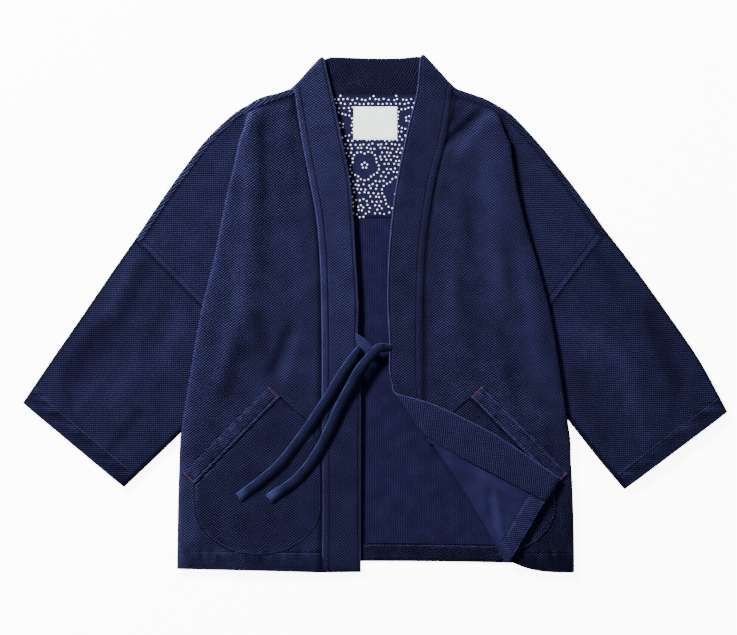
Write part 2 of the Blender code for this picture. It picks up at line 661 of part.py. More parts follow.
def tie_rows(path, trees, under=0):
    """Rows of a tie that lies on what is under it; the first ones may run below the band."""
    span = len(path) - 1
    length = sum((Vector(q) - Vector(p)).length for p, q in zip(path, path[1:]))
    count = round(length / TIE_STEP)
    centres = [Vector(through(path, span * k / count)) for k in range(count + 1)]

    def top_at(place):
        heights = []
        for tree in trees:
            hit = tree.ray_cast(Vector((place.x, place.y, 80.0)) * MM, Vector((0, 0, -1)))
            if hit[0] is not None:
                heights.append(hit[0].z / MM)
        return max(heights, default=0.0)

    ways = []
    for k in range(count + 1):
        along = (centres[min(k + 1, count)] - centres[max(k - 1, 0)]).normalized()
        ways.append(Vector((along.y, -along.x)))
    local = []
    for k, (centre, way) in enumerate(zip(centres, ways)):
        tops = []
        for c in (-0.55, -0.3, 0.0, 0.3, 0.55):
            for f in (-0.5, -0.25, 0.0, 0.25, 0.5):
                other = centres[min(k + 1, count)] if f > 0 else centres[max(k - 1, 0)]
                tops.append(top_at(lerp(centre, other, abs(f)) + way * (TIE_WIDTH * c)))
        local.append(max(tops))
    rows = []
    for k, (centre, way) in enumerate(zip(centres, ways)):
        z = max(local[max(k - 1, 0):k + 2]) + REST + TIE / 2
        width = TIE_WIDTH * lerp(0.75, 1.0, ease(k / 5))
        if centre.x > -36:
            z = max(z, KNOT_Z)
        if k < under:
            z = lerp(TIE_UNDER_Z, KNOT_Z, ease((17 - centre.x) / 24))
        half = way * (width / 2)
        rows.append((Vector((centre.x - half.x, centre.y - half.y, z)),
                     Vector((centre.x + half.x, centre.y + half.y, z))))
    return rows


def knot():
    """The wrap of the knot: a leaf of cloth that lies over both ties."""
    start, end = Vector((-29.0, -30.0, 19.7)), Vector((-4.5, -60.0, 20.6))
    along = (end - start).normalized()
    across = Vector((-along.y, along.x, 0)).normalized()
    sections = []
    for t, half, height in ((0.0, 2.5, 0.8), (0.15, 6.0, 1.1), (0.4, 9.5, 1.4), (0.7, 11.5, 1.4),
                            (0.9, 10.0, 1.2), (1.0, 7.0, 0.7)):
        centre = lerp(start, end, t) + Vector((0, 0, 2.5 * math.sin(math.pi * t)))
        ring = []
        for k in range(10):
            angle = 2 * math.pi * k / 10
            ring.append(centre + across * (half * math.cos(angle)) + Vector((0, 0, height * math.sin(angle))))
        sections.append(ring)
    return loft("knot", sections, "sashiko")


for old in list(bpy.data.objects):
    bpy.data.objects.remove(old, do_unlink=True)
PIECES = bpy.data.collections.new(OBJECT_NAME)
CUTTERS = bpy.data.collections.new("cutters")
for group in (PIECES, CUTTERS):
    bpy.context.scene.collection.children.link(group)
MATERIALS = {}
for slot, colour in COLOURS.items():
    material = bpy.data.materials.new(slot)
    material.use_nodes = True
    shader = material.node_tree.nodes["Principled BSDF"]
    shader.inputs["Base Color"].default_value = (*colour, 1.0)
    shader.inputs["Roughness"].default_value = 0.9
    shader.inputs["Metallic"].default_value = 0.0
    MATERIALS[slot] = material

# Back, flat on the floor
back_rows, first_upper, end_columns = back_grid()
back_columns = len(back_rows[0])
cloth("back", back_rows, "sashiko",
      keep=lambda i, j: i >= first_upper or end_columns <= j < back_columns - 1 - end_columns)

# Fronts
right_rows = [front_row(-1, RIGHT_FRONT, t) for t in stations(len(RIGHT_FRONT) - 1)]
folded = UNDERARM_ROW * ROWS_PER_SECTION + 1
side_end = MAIN + ROLL + TUCK
cloth("front_right", right_rows, "sashiko", even=False,
      keep=lambda i, j: i < folded or j < side_end)
left_rows = left_front_grid()
blank = TURN_FLAP + TURN_ROLL
turned = (len(LEFT_FRONT) - 1) * ROWS_PER_SECTION + 1
cloth("front_left", left_rows, "sashiko", even=False,
      keep=lambda i, j: (i < folded or j < side_end + blank) and (i >= turned or j >= blank))

# Sleeves
cloth("sleeve_right", sleeve_grid(-1, RIGHT_SLEEVE), "sashiko", ring=True)
cloth("sleeve_left", sleeve_grid(1, LEFT_SLEEVE), "sashiko", ring=True)

# Collar band
strip("collar_band", band_rows(), BAND, "sashiko")

# Pockets and their bindings, from the fronts' own points
right_main = [row[:MAIN + 1] for row in right_rows]
left_main = [row[blank:blank + MAIN + 1] for row in left_rows]
for side, name, grid in ((-1, "right", right_main), (1, "left", left_main)):
    laid_on("pocket_" + name, grid, pocket_outline(side), "sashiko", POCKET)
    laid_on("pocket_binding_" + name, grid, binding_outline(side), "sashiko", BINDING)

# Hem allowance that shows on the turned corner
turned_flap = [row[:TURN_FLAP + 1] for row in left_rows[turned + 1:]]
hem_inner = [(229.0, -268.0), (184.0, -347.0)]
hem_outer = [(215.0, -400.0), (300.0, -280.0)]
laid_on("corner_hem", turned_flap, hem_inner + hem_outer, "sashiko", POCKET)

# Back hem turned up on the inside, yoke lining and bare label
on_back = CLOTH + REST
hem_outline = []
for low_edge in (True, False):
    for k in range(9):
        u = k / 8 if low_edge else 1 - k / 8
        x = lerp(HEM_INSET - BACK_HALF, BACK_HALF - HEM_INSET, u)
        rise = 1.0 if low_edge else HEM_WIDTH
        hem_outline.append((x, BACK_HEM_UP + BACK_HEM_ARCH * math.sin(math.pi * u) ** 0.6 + rise))
finish(prism("back_hem", hem_outline, on_back, on_back + CLOTH, PIECES), "sashiko", smooth=False)
yoke_outline = [(YOKE_HALF, YOKE_UP), (-YOKE_HALF, YOKE_UP), (-YOKE_HALF, 300.0)]
for k in range(9):
    x = lerp(-112.0, 108.0, k / 8)
    yoke_outline.append((x, neck_seam(x) - 2.0))
yoke_outline.append((YOKE_HALF, 300.0))
finish(prism("yoke_lining", yoke_outline, on_back, on_back + LINING, PIECES), "lining", smooth=False)
label_low = on_back + LINING + REST
half_w = LABEL_SIZE[0] / 2
label_outline = [(-half_w, 261.0), (half_w, 261.0), (half_w, 261.0 + LABEL_SIZE[1]), (-half_w, 261.0 + LABEL_SIZE[1])]
finish(prism("label", label_outline, label_low, label_low + LABEL, PIECES), "label", smooth=False)

# Ties and knot, laid on what is under them
graph = bpy.context.evaluated_depsgraph_get()
below = ("collar_band", "front_right", "pocket_right", "pocket_binding_right")
trees = [BVHTree.FromObject(bpy.data.objects[name], graph) for name in below]
strip("tie_right", tie_rows(RIGHT_TIE, trees), TIE, "sashiko")
strip("tie_left", tie_rows(LEFT_TIE, trees, under=4), TIE, "sashiko")
knot()
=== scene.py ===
import math
import random
from collections import namedtuple

import bmesh
import bpy
from mathutils import Matrix, Vector, noise
from mathutils.bvhtree import BVHTree


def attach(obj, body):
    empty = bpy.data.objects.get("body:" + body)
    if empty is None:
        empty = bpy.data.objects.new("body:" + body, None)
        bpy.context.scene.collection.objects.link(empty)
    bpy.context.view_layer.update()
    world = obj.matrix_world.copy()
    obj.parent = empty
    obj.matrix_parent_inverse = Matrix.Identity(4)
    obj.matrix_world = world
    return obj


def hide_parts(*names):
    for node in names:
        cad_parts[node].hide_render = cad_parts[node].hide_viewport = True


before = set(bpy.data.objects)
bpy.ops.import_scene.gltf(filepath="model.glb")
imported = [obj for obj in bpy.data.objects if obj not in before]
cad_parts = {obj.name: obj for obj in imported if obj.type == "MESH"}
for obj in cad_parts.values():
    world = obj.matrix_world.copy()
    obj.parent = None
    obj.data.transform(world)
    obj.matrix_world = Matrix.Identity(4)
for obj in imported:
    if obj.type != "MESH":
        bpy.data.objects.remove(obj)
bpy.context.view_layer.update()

MM = 0.001

# Studio
# White paper on a light table in a room with white walls, with one large window to the upper left.
# The camera hangs three metres above and looks straight down, as in the photo.
PHOTO_WIDTH_PX, MM_PER_PX = 737, 1.5
PHOTO_MIDDLE_MM = (-10.1, -6.8)
CAMERA_HEIGHT_MM, JACKET_MIDDLE_MM = 3000.0, 12.0
SENSOR_MM = 36.0
PAPER_DROP_MM, PAPER_HALF_M = 0.3, 5.0
PAPER_GLOW, ROOM_LIGHT = 8.5, 0.35
WHITE = (1.0, 1.0, 1.0, 1.0)


def linear(colour):
    """Colour for a shader from an sRGB hex value."""
    parts = [int(colour[k:k + 2], 16) / 255 for k in (1, 3, 5)]
    return [c / 12.92 if c <= 0.04045 else ((c + 0.055) / 1.055) ** 2.4 for c in parts] + [1.0]


def plain_material(name, colour, roughness, specular=0.5):
    """A material of one even colour."""
    made = bpy.data.materials.new(name)
    made.use_nodes = True
    shader = made.node_tree.nodes["Principled BSDF"]
    shader.inputs["Base Color"].default_value = linear(colour)
    shader.inputs["Roughness"].default_value = roughness
    shader.inputs["Specular IOR Level"].default_value = specular
    return made


def mesh_of(name, bm):
    """The mesh of a finished bmesh."""
    mesh = bpy.data.meshes.new(name)
    bm.to_mesh(mesh)
    bm.free()
    return mesh


camera = bpy.data.objects.new("camera", bpy.data.cameras.new("camera"))
camera.data.sensor_width = SENSOR_MM
camera.data.lens = SENSOR_MM * CAMERA_HEIGHT_MM / (PHOTO_WIDTH_PX * MM_PER_PX)
camera.location = Vector((*PHOTO_MIDDLE_MM, CAMERA_HEIGHT_MM + JACKET_MIDDLE_MM)) * MM
bpy.context.scene.collection.objects.link(camera)
bpy.context.scene.camera = camera

# Uncoated paper, lit from below by the table, so that it reads as an even white.
paper = plain_material("white_matte_paper", "#f7f7f6", 0.9, 0.1)
paper_inputs = paper.node_tree.nodes["Principled BSDF"].inputs
paper_inputs["Emission Color"].default_value = WHITE
paper_inputs["Emission Strength"].default_value = PAPER_GLOW
sheet_of_paper = bmesh.new()
bmesh.ops.create_grid(sheet_of_paper, x_segments=1, y_segments=1, size=PAPER_HALF_M)
floor = bpy.data.objects.new("paper_floor", mesh_of("paper_floor", sheet_of_paper))
floor.location.z = -PAPER_DROP_MM * MM
floor.data.materials.append(paper)
bpy.context.scene.collection.objects.link(floor)

Lamp = namedtuple("Lamp", "name x y z size power")
for lamp in (
    Lamp("window_light", -2.2, 2.3, 2.4, 0.8, 860.0),
    Lamp("wall_bounce", 1.8, -1.2, 2.2, 2.4, 22.0),
):
    light = bpy.data.objects.new(lamp.name, bpy.data.lights.new(lamp.name, "AREA"))
    light.data.size = lamp.size
    light.data.energy = lamp.power
    light.location = (lamp.x, lamp.y, lamp.z)
    light.rotation_euler = (-light.location).to_track_quat("-Z", "Y").to_euler()
    bpy.context.scene.collection.objects.link(light)
world = bpy.data.worlds.new("white_room")
bpy.context.scene.world = world
world.use_nodes = True
world.node_tree.nodes["Background"].inputs["Color"].default_value = WHITE
world.node_tree.nodes["Background"].inputs["Strength"].default_value = ROOM_LIGHT

# Ties
# Two flat sewn tubes of the jacket's own cloth that leave the band's edges, cross in a knot and lie
# to the wearer's right over band and pocket. They are turned inside out, pressed and topstitched.
TIE_WIDTH, TIE_THICK, TIE_STEP = 14.0, 4.2, 3.0
REST = 0.3
BODY_Z, BAND = 14.0, 4.2
RIGHT_TIE = [(-22.0, -51.0), (-34.0, -68.0), (-52.5, -95.0), (-65.5, -117.0), (-88.0, -152.0),
             (-105.0, -177.0), (-138.0, -220.0), (-163.0, -244.0), (-205.0, -276.0)]
LEFT_TIE = [(25.0, -52.0), (15.0, -52.0), (4.0, -53.5), (-11.0, -69.0), (-26.0, -88.0),
            (-38.0, -110.0), (-53.0, -138.0), (-65.0, -165.0), (-87.0, -209.0),
            (-118.0, -248.0), (-160.0, -278.0)]
LEFT_TIE_UNDER_BAND = 14
TIE_ACROSS, TIE_TOPSTITCH, TIE_FLAT = 16, 1.8, 2.6
# Painted light on the ties: one rim is painted much paler than the other and one side paler than the other,
# as lit from the upper left; the rims are also rubbed pale.
TIE_EDGE_WEAR_AND_LIGHT, TIE_PAINTED_LIGHT_TILT = (0.05, 0.45), 0.13
TIE_FEELERS = (-0.55, -0.3, 0.0, 0.3, 0.55)
RIM_WIDTH, RIM_SOFT, RIM_WEAR, END_TAPER = 1.9, 1.4, 0.1, 0.3
TIE_UNDER_Z = 15.2
TIE_CLEAR, TIE_EVEN = 0.4, 5
TIE_NARROW, TIE_NARROW_ROWS = 0.75, 15
TIE_CREASE = 0.5
# The whole tie is painted darker as shade on its rounded middle; only its free end is rubbed pale.
TIE_CORE_SHADE, TIE_END_WEAR, TIE_END_UP = -0.12, 0.36, -262.0
KNOT_Z = BODY_Z + BAND / 2 + 2.2
KNOT_OUT = -36.0
BAND_EDGE_OUT, RISE_OVER = 24.0, 20.0
ABOVE_ALL_Z = 60.0
NO_LINE = 500.0
# Where the rows of grains lie in the scale of tones, which runs from a shaded gap to a lit top and so
# paints shade and highlight on the grains along with the dye, and how much each pattern counts
WANDER_SCALE, WANDER_BY = 0.11, 3.2
MAIN_ROWS, SLUB, SLUB_SCALE, MIDDLE = 0.30, 0.5, 0.55, 0.25
DYE_LEVEL, GRAIN_CONTRAST = 0.11, 0.84
GAP_AT, BODY_AT, LIT_AT = 0.30, 0.58, 0.95
# Stitch grooves: how tight they are, how much painted shade darkens them and how deep they sink.
GROOVE_TIGHT, GROOVE_PAINTED_SHADE, GROOVE_DEPTH = 0.55, 0.4, 1.1


def lerp(a, b, t):
    """Blend of two numbers or vectors."""
    return a + (b - a) * t


def ease(t):
    """Smooth step from 0 to 1."""
    t = min(max(t, 0.0), 1.0)
    return t * t * (3 - 2 * t)


def fade(distance, reach):
    """1 at a place, and less and less beside it."""
    return math.exp(-(distance / reach) ** 2)


def rough(x, y, seed):
    """Soft unevenness between -1 and 1, another one for each seed."""
    return noise.noise(Vector((x, y, seed)))


def through(rows, t):
    """Smooth curve through table rows, at t rows from the first."""
    t = min(max(t, 0.0), len(rows) - 1.0)
    i = min(int(t), len(rows) - 2)
    f = t - i
    b, c = rows[i], rows[i + 1]
    a = rows[i - 1] if i > 0 else [2 * p - q for p, q in zip(b, c)]
    d = rows[i + 2] if i + 2 < len(rows) else [2 * q - p for p, q in zip(b, c)]
    return [p1 + 0.5 * f * (p2 - p0 + f * (2 * p0 - 5 * p1 + 4 * p2 - p3 + f * (3 * (p1 - p2) + p3 - p0)))
            for p0, p1, p2, p3 in zip(a, b, c, d)]


def add_node(material, kind, inputs=None, **settings):
    """Add a shader node with its settings, values and links."""
    made = material.node_tree.nodes.new(kind)
    for key, value in settings.items():
        setattr(made, key, value)
    for socket, value in (inputs or {}).items():
        if isinstance(value, bpy.types.NodeSocket):
            material.node_tree.links.new(value, made.inputs[socket])
        else:
            made.inputs[socket].default_value = value
    return made


def indigo_cotton(name, gap, body, lit, rib, depth, slants=(0.65, 0.65), cross=0.25, mottle=0.03, uneven=0.3):
    """Woven cotton dyed with indigo: rows of thick rice-grain stitches, paler where they stand up.
    The tone follows the grains' height from gap to lit: partly their rubbed paler tips, partly painted
    shade in the gaps between them and painted highlight on their tops.
    gap, body and lit are its colours, rib the distance between rows in mm, depth the relief in mm.
    Two sets of rows lean by slants to either side, the second weaker, as cross says.
    mottle sets how small the uneven patches of dye are, uneven how much they differ."""
    cotton = bpy.data.materials.new(name)
    cotton.use_nodes = True
    shader = cotton.node_tree.nodes["Principled BSDF"]

    def calculate(operation, *values):
        """Result of one calculation on shader values."""
        made = add_node(cotton, "ShaderNodeMath", dict(enumerate(values)), operation=operation)
        return made.outputs["Value"]

    def patches(scale, detail):
        """Uneven patches over the cloth's threads."""
        inputs = {"Vector": weave, "Scale": scale, "Detail": detail}
        return add_node(cotton, "ShaderNodeTexNoise", inputs).outputs

    def combine(operation, a, b):
        """Result of one calculation on shader vectors."""
        return add_node(cotton, "ShaderNodeVectorMath", {0: a, 1: b}, operation=operation).outputs

    weave = add_node(cotton, "ShaderNodeUVMap", uv_map="weave").outputs["UV"]
    shifted = combine("MULTIPLY", patches(WANDER_SCALE, 2.0)["Color"], (WANDER_BY, WANDER_BY, 0.0))
    thread = combine("ADD", weave, shifted["Vector"])["Vector"]
    waves = []
    for way, slant in zip((-1, 1), slants):
        turn = 2 * math.pi / rib
        direction = (turn * math.sin(slant) * way, turn * math.cos(slant), 0.0)
        waves.append(calculate("SINE", combine("DOT_PRODUCT", thread, direction)["Value"]))
    crossed = calculate("MULTIPLY_ADD", waves[0], MAIN_ROWS, calculate("MULTIPLY", waves[1], cross))
    grains = calculate("MULTIPLY_ADD", patches(SLUB_SCALE, 3.0)["Fac"], SLUB, crossed)
    height = calculate("ADD", grains, MIDDLE)
    # The point attribute read here says how much paler or darker each point is: partly rubbed paling, partly
    # painted light and shade.
    worn_and_shaded = add_node(cotton, "ShaderNodeAttribute", attribute_name="wear_and_shade").outputs["Fac"]
    level = calculate("ADD", worn_and_shaded, DYE_LEVEL - uneven / 2)
    faded = calculate("MULTIPLY_ADD", patches(mottle, 5.0)["Fac"], uneven, level)
    tone = calculate("MULTIPLY_ADD", height, GRAIN_CONTRAST, faded)
    # Tones from the gap colour through body to the lit colour: painted shade between the grains and painted
    # highlight on their tops, with their rubbed paler tips.
    shades = add_node(cotton, "ShaderNodeValToRGB", {"Fac": tone})
    ramp = shades.color_ramp
    ramp.elements[0].position, ramp.elements[0].color = GAP_AT, linear(gap)
    ramp.elements[1].position, ramp.elements[1].color = LIT_AT, linear(lit)
    ramp.elements.new(BODY_AT).color = linear(body)
    lines = add_node(cotton, "ShaderNodeUVMap", uv_map="stitching").outputs["UV"]
    split = add_node(cotton, "ShaderNodeSeparateXYZ", {0: lines}).outputs
    squares = [calculate("POWER", split[axis], 2.0) for axis in ("X", "Y")]
    grooves = [calculate("EXPONENT", calculate("MULTIPLY", square, -GROOVE_TIGHT)) for square in squares]
    groove = calculate("MAXIMUM", *grooves)
    # Along stitched lines the colour is pulled towards the gap colour: painted shade in the dents of the
    # stitches.
    shade = calculate("MULTIPLY", groove, GROOVE_PAINTED_SHADE)
    colour = add_node(cotton, "ShaderNodeMix", {0: shade, 6: shades.outputs["Color"], 7: linear(gap)},
                      data_type="RGBA").outputs[2]
    sunk = calculate("MULTIPLY_ADD", groove, -GROOVE_DEPTH, height)
    raised = add_node(cotton, "ShaderNodeBump", {"Height": sunk, "Distance": depth * MM, "Strength": 1.0})
    cotton.node_tree.links.new(colour, shader.inputs["Base Color"])
    cotton.node_tree.links.new(raised.outputs["Normal"], shader.inputs["Normal"])
    shader.inputs["Roughness"].default_value = 0.9
    shader.inputs["Specular IOR Level"].default_value = 0.02
    shader.inputs["Sheen Weight"].default_value = 0.02
    shader.inputs["Sheen Roughness"].default_value = 0.6
    shader.inputs["Sheen Tint"].default_value = linear("#5f6ea6")
    return cotton


# The outside shows the thick grains in slanted rows, as a dark blue with pale points.
OUTSIDE = indigo_cotton("sashiko_rice_grain_woven_indigo_cotton", "#03030a", "#09091a", "#2c2c50", 3.1, 1.2)
# The inside of the same cloth is flatter and more violet, with fine upright ribs.
INSIDE = indigo_cotton("sashiko_inside_ribbed_indigo_cotton", "#070616", "#0d0b20", "#1d1d3d", 2.6, 0.25,
                       slants=(1.571, 0.0), cross=0.08, mottle=0.045, uneven=0.4)
# On the sleeves, drop shoulders and turned edges the threads lie another way, and the grains look square
# and flat.
SLEEVE_CLOTH = indigo_cotton("sashiko_sleeve_indigo_cotton", "#04040d", "#0b0b1d", "#252547", 3.0, 0.6,
                             slants=(0.593, 0.977), cross=0.16, mottle=0.04, uneven=0.2)
# The ties are thin tubes, so their grains are pulled smaller.
TIE_CLOTH = indigo_cotton("sashiko_tie_indigo_cotton", "#03040c", "#090a1b", "#2a2d52", 2.6, 0.45,
                          slants=(0.3, 0.5))


def turned(x, y, angle):
    """Thread directions of cloth that lies at an angle."""
    return x * math.cos(angle) - y * math.sin(angle), x * math.sin(angle) + y * math.cos(angle)


def piece_of(name, mesh, materials):
    """A piece made of a mesh, with its materials."""
    made = bpy.data.objects.new(name, mesh)
    for material in materials:
        mesh.materials.append(material)
    bpy.context.scene.collection.objects.link(made)
    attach(made, "root")
    return made


def tree_of(piece):
    """What a piece can be laid on, for finding its height."""
    mesh = piece.data
    return BVHTree.FromPolygons([v.co for v in mesh.vertices], [p.vertices for p in mesh.polygons])


def on_top(trees, x, y, from_z=ABOVE_ALL_Z):
    """Highest point of some pieces at a place, looked for from from_z down; None beside them."""
    hits = [tree.ray_cast(Vector((x, y, from_z)) * MM, Vector((0, 0, -1)))[0] for tree in trees]
    return max((hit.z / MM for hit in hits if hit is not None), default=None)


def woven_object(name, points, faces, weave, stitching, wear_and_shade, materials):
    """Cloth mesh from its points in mm, with its thread directions, stitched lines, and how much paler or
    darker each point is, partly rubbed paling and partly painted light and shade.
    """
    mesh = bpy.data.meshes.new(name)
    mesh.from_pydata([tuple(p * MM) for p in points], [], faces)
    for layer_name, values in (("weave", weave), ("stitching", stitching)):
        layer = mesh.uv_layers.new(name=layer_name)
        for loop in mesh.loops:
            layer.data[loop.index].uv = values[loop.vertex_index]
    # This attribute holds rubbed paling together with painted light and shade.
    attribute = mesh.attributes.new("wear_and_shade", "FLOAT", "POINT")
    attribute.data.foreach_set("value", wear_and_shade)
    mesh.shade_smooth()
    return piece_of(name, mesh, materials)


def ribbon(name, rows, thickness, across, materials, lines=(), surface=None, wear_and_shade=None, edge_wear_and_light=None,
           flat=5.0, angles=None, painted_light_tilt=0.0, second_from=None):
    """Closed strip with rounded edges through rows of (one edge, other edge); a larger flat squares it.
    The paleness function gives how pale it is at a place, from rubbing and from painted light and shade;
    the edge function how much paler each edge is there, from rubbing and painted highlight, and a negative
    value paints a shadow along that edge; the one-sided paleness how much paler the side of the other edge
    is, as painted light from one side; angles how its threads lie on each row, None for along the strip.
    The rows from second_from on take the second material."""
    middles = [(a + b) / 2 for a, b in rows]
    top = [0.5 - 0.5 * math.cos(math.pi * k / across) for k in range(across + 1)]
    profile = [(c, 1) for c in top] + [(c, -1) for c in top[-2:0:-1]]
    points, weave, stitching, worn_and_shaded, faces = [], [], [], [], []
    along = 0.0
    for i, (a, b) in enumerate(rows):
        if i:
            along += (middles[i] - middles[i - 1]).length
        tangent = middles[min(i + 1, len(rows) - 1)] - middles[max(i - 1, 0)]
        normal = (b - a).cross(tangent).normalized()
        if (normal.z < 0 and i == 0) or (i and normal.dot(last_normal) < 0):
            normal = -normal
        last_normal = normal
        width = (b - a).length
        taper = 1.0 if 0 < i < len(rows) - 1 else END_TAPER
        for c, face in profile:
            edge = (1 - abs(2 * c - 1) ** flat) ** (1 / 2.1)
            rise = thickness / 2 * edge * taper * face
            if surface and face > 0:
                rise += surface(c * width, along, width) * min(1.0, edge)
            spot = lerp(a, b, c) + normal * rise
            points.append(spot)
            angle = angles[i] if angles else None
            weave.append((c * width, along) if angle is None else turned(spot.x, spot.y, angle))
            near = [c * width - line if line > 0 else (1 - c) * width + line for line in lines]
            near += [NO_LINE] * (2 - len(near))
            stitching.append((near[0], near[1]) if face > 0 else (NO_LINE, NO_LINE))
            # Painted light from one side makes the side of the other edge paler.
            base = (wear_and_shade(middles[i]) if wear_and_shade else 0.0) + painted_light_tilt * (2 * c - 1)
            # Paler edges, from rubbing and painted highlight; a negative value paints a shadow along the
            # edge.
            paler = edge_wear_and_light(middles[i])[0 if c < 0.5 else 1] if edge_wear_and_light else RIM_WEAR
            worn_and_shaded.append(base + paler * ease((RIM_WIDTH - min(c, 1 - c) * width) / RIM_SOFT))
    count = len(profile)
    for i in range(len(rows) - 1):
        for j in range(count):
            k = (j + 1) % count
            faces.append((i * count + j, i * count + k, (i + 1) * count + k, (i + 1) * count + j))
    faces.append(tuple(range(count)))
    faces.append(tuple(range((len(rows) - 1) * count, len(rows) * count)))
    made = woven_object(name, points, faces, weave, stitching, worn_and_shaded, materials)
    if second_from:
        for polygon in made.data.polygons:
            polygon.material_index = 1 if second_from * count <= polygon.index else 0
    tidy = bmesh.new()
    tidy.from_mesh(made.data)
    bmesh.ops.recalc_face_normals(tidy, faces=tidy.faces)
    tidy.to_mesh(made.data)
    tidy.free()
    return made


def tie_rows(path, trees, under=0):
    """Rows of a tie that lies on what is under it; the first ones may run below the band."""
    span = len(path) - 1
    length = sum((Vector(q) - Vector(p)).length for p, q in zip(path, path[1:]))
    count = round(length / TIE_STEP)
    centres = [Vector(through(path, span * k / count)) for k in range(count + 1)]
    ways = []
    for k in range(count + 1):
        way = (centres[min(k + 1, count)] - centres[max(k - 1, 0)]).normalized()
        ways.append(Vector((way.y, -way.x)))
    local = []
    for centre, way in zip(centres, ways):
        spots = [centre + way * (TIE_WIDTH * c) for c in TIE_FEELERS]
        local.append(max(on_top(trees, spot.x, spot.y) or 0.0 for spot in spots))
    near = [slice(max(k - TIE_EVEN, 0), k + TIE_EVEN + 1) for k in range(count + 1)]
    lifted = [max(local[part]) for part in near]
    smooth = [sum(lifted[part]) / len(lifted[part]) for part in near]
    rows = []
    for k, (centre, way) in enumerate(zip(centres, ways)):
        z = smooth[k] + REST + TIE_THICK / 2 + TIE_CLEAR
        width = TIE_WIDTH * lerp(TIE_NARROW, 1.0, ease(k / TIE_NARROW_ROWS))
        if centre.x > KNOT_OUT:
            z = max(z, KNOT_Z)
        if k < under:
            z = lerp(TIE_UNDER_Z, KNOT_Z, ease((BAND_EDGE_OUT - centre.x) / RISE_OVER))
        half = way * (width / 2)
        rows.append((Vector((centre.x - half.x, centre.y - half.y, z)),
                     Vector((centre.x + half.x, centre.y + half.y, z))))
    return rows


def tie_surface(seed):
    """Soft cross creases along a tie, other ones for each seed."""
    def surface(across, along, width):
        return rough(along / 7.0, across / 14.0, seed) * TIE_CREASE
    return surface


def tie_end_wear_and_shade(middle):
    """A tie is rubbed pale at its free end, and painted darker all over as shade on its rounded middle."""
    return TIE_END_WEAR * ease((TIE_END_UP - middle.y) / 12) + TIE_CORE_SHADE


under_ties = [tree_of(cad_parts[key])
              for key in ("collar_band", "front_right", "pocket_right", "pocket_binding_right")]
for name, path, under, seed in (
    ("tie_right", RIGHT_TIE, 0, 3.0),
    ("tie_left", LEFT_TIE, LEFT_TIE_UNDER_BAND, 8.0),
):
    strip = tie_rows(path, under_ties, under)
    tie = ribbon("sewn_" + name, strip, TIE_THICK, TIE_ACROSS, [TIE_CLOTH],
                 lines=(TIE_TOPSTITCH, -TIE_TOPSTITCH), surface=tie_surface(seed), wear_and_shade=tie_end_wear_and_shade,
                 edge_wear_and_light=lambda middle: TIE_EDGE_WEAR_AND_LIGHT, flat=TIE_FLAT, painted_light_tilt=TIE_PAINTED_LIGHT_TILT)
    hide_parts(name)

# Fronts
# Each front is one panel of sashiko cotton with its drop shoulder cut in one. Laid flat it folds over
# itself at the armhole in a deep pleat, and its hem is turned up 27 mm and stitched.
CLOTH = 1.8
BACK_Z = CLOTH / 2
SHOULDER_ROLL = 4.5
SHOULDER_Z = BACK_Z + 2 * SHOULDER_ROLL
FLAP_Z = SHOULDER_Z + 0.1
FLAP_LOW_Z = 8.9
TUCK_Z = 13.3
SIDE_Z = CLOTH + REST + CLOTH / 2
HEM_DROP = 1.5
RIDGE_ROLL = 3.0
SIDE_ROLL = 4.8
CORNER_ROLL = 4.8
CORNER_SKEW = 20.0
SEAM = 0.4
SHOULDER_WRAP = 10.0
TUCKED = 2.5
SEAM_STRIP = 8.0
HEM_WIDTH = 27.0
HEM_RISE = 0.8
MAIN, ROLL, TUCK, TUCK_TURN, FLAP = 64, 10, 3, 6, 22
TURN_FLAP, TURN_ROLL = 18, 10
ROWS_PER_SECTION = 14
FLAT_TOP = 0.15
FLAT_DEPTH = 4.0
RAISED_BY = 0.8
FOLD_FROM, FOLD_BY = 0.1, 1.3
UNDERARM_ROW, EXIT_ROW = 7, 9
SLACK_WIDE, SLACK_FINE, PUCKER = 1.0, 0.75, 3.0
FOLD_ENDS = 0.35
NECK_DROP, LOW_DROP_UP = 2.6, -150
SEAM_EDGE_DROP, MAIN_BOW = 1.5, 1.8
DITCH, DITCH_REACH, SWELL, SWELL_AT, SWELL_REACH = 1.2, 3.5, 0.5, 9.0, 5.0
STRIP_RISE, STRIP_DITCH, STRIP_DITCH_REACH = 0.6, 0.5, 1.5
FLAP_SOFT, CORNER_UNEVEN, HEM_PUCKER = 0.6, 0.9, 0.5

Shoulder = namedtuple("Shoulder", "right_out right_up left_out left_up")
Front = namedtuple("Front", "seam_out seam_up free_out free_up edge_out edge_up")
Corner = namedtuple("Corner", "fold_out fold_up seam_out seam_up free_out free_up edge_out edge_up")
Sleeve = namedtuple("Sleeve", "top_out top_up under_out under_up")
Fold = namedtuple("Fold", "x0 y0 x1 y1 width height")

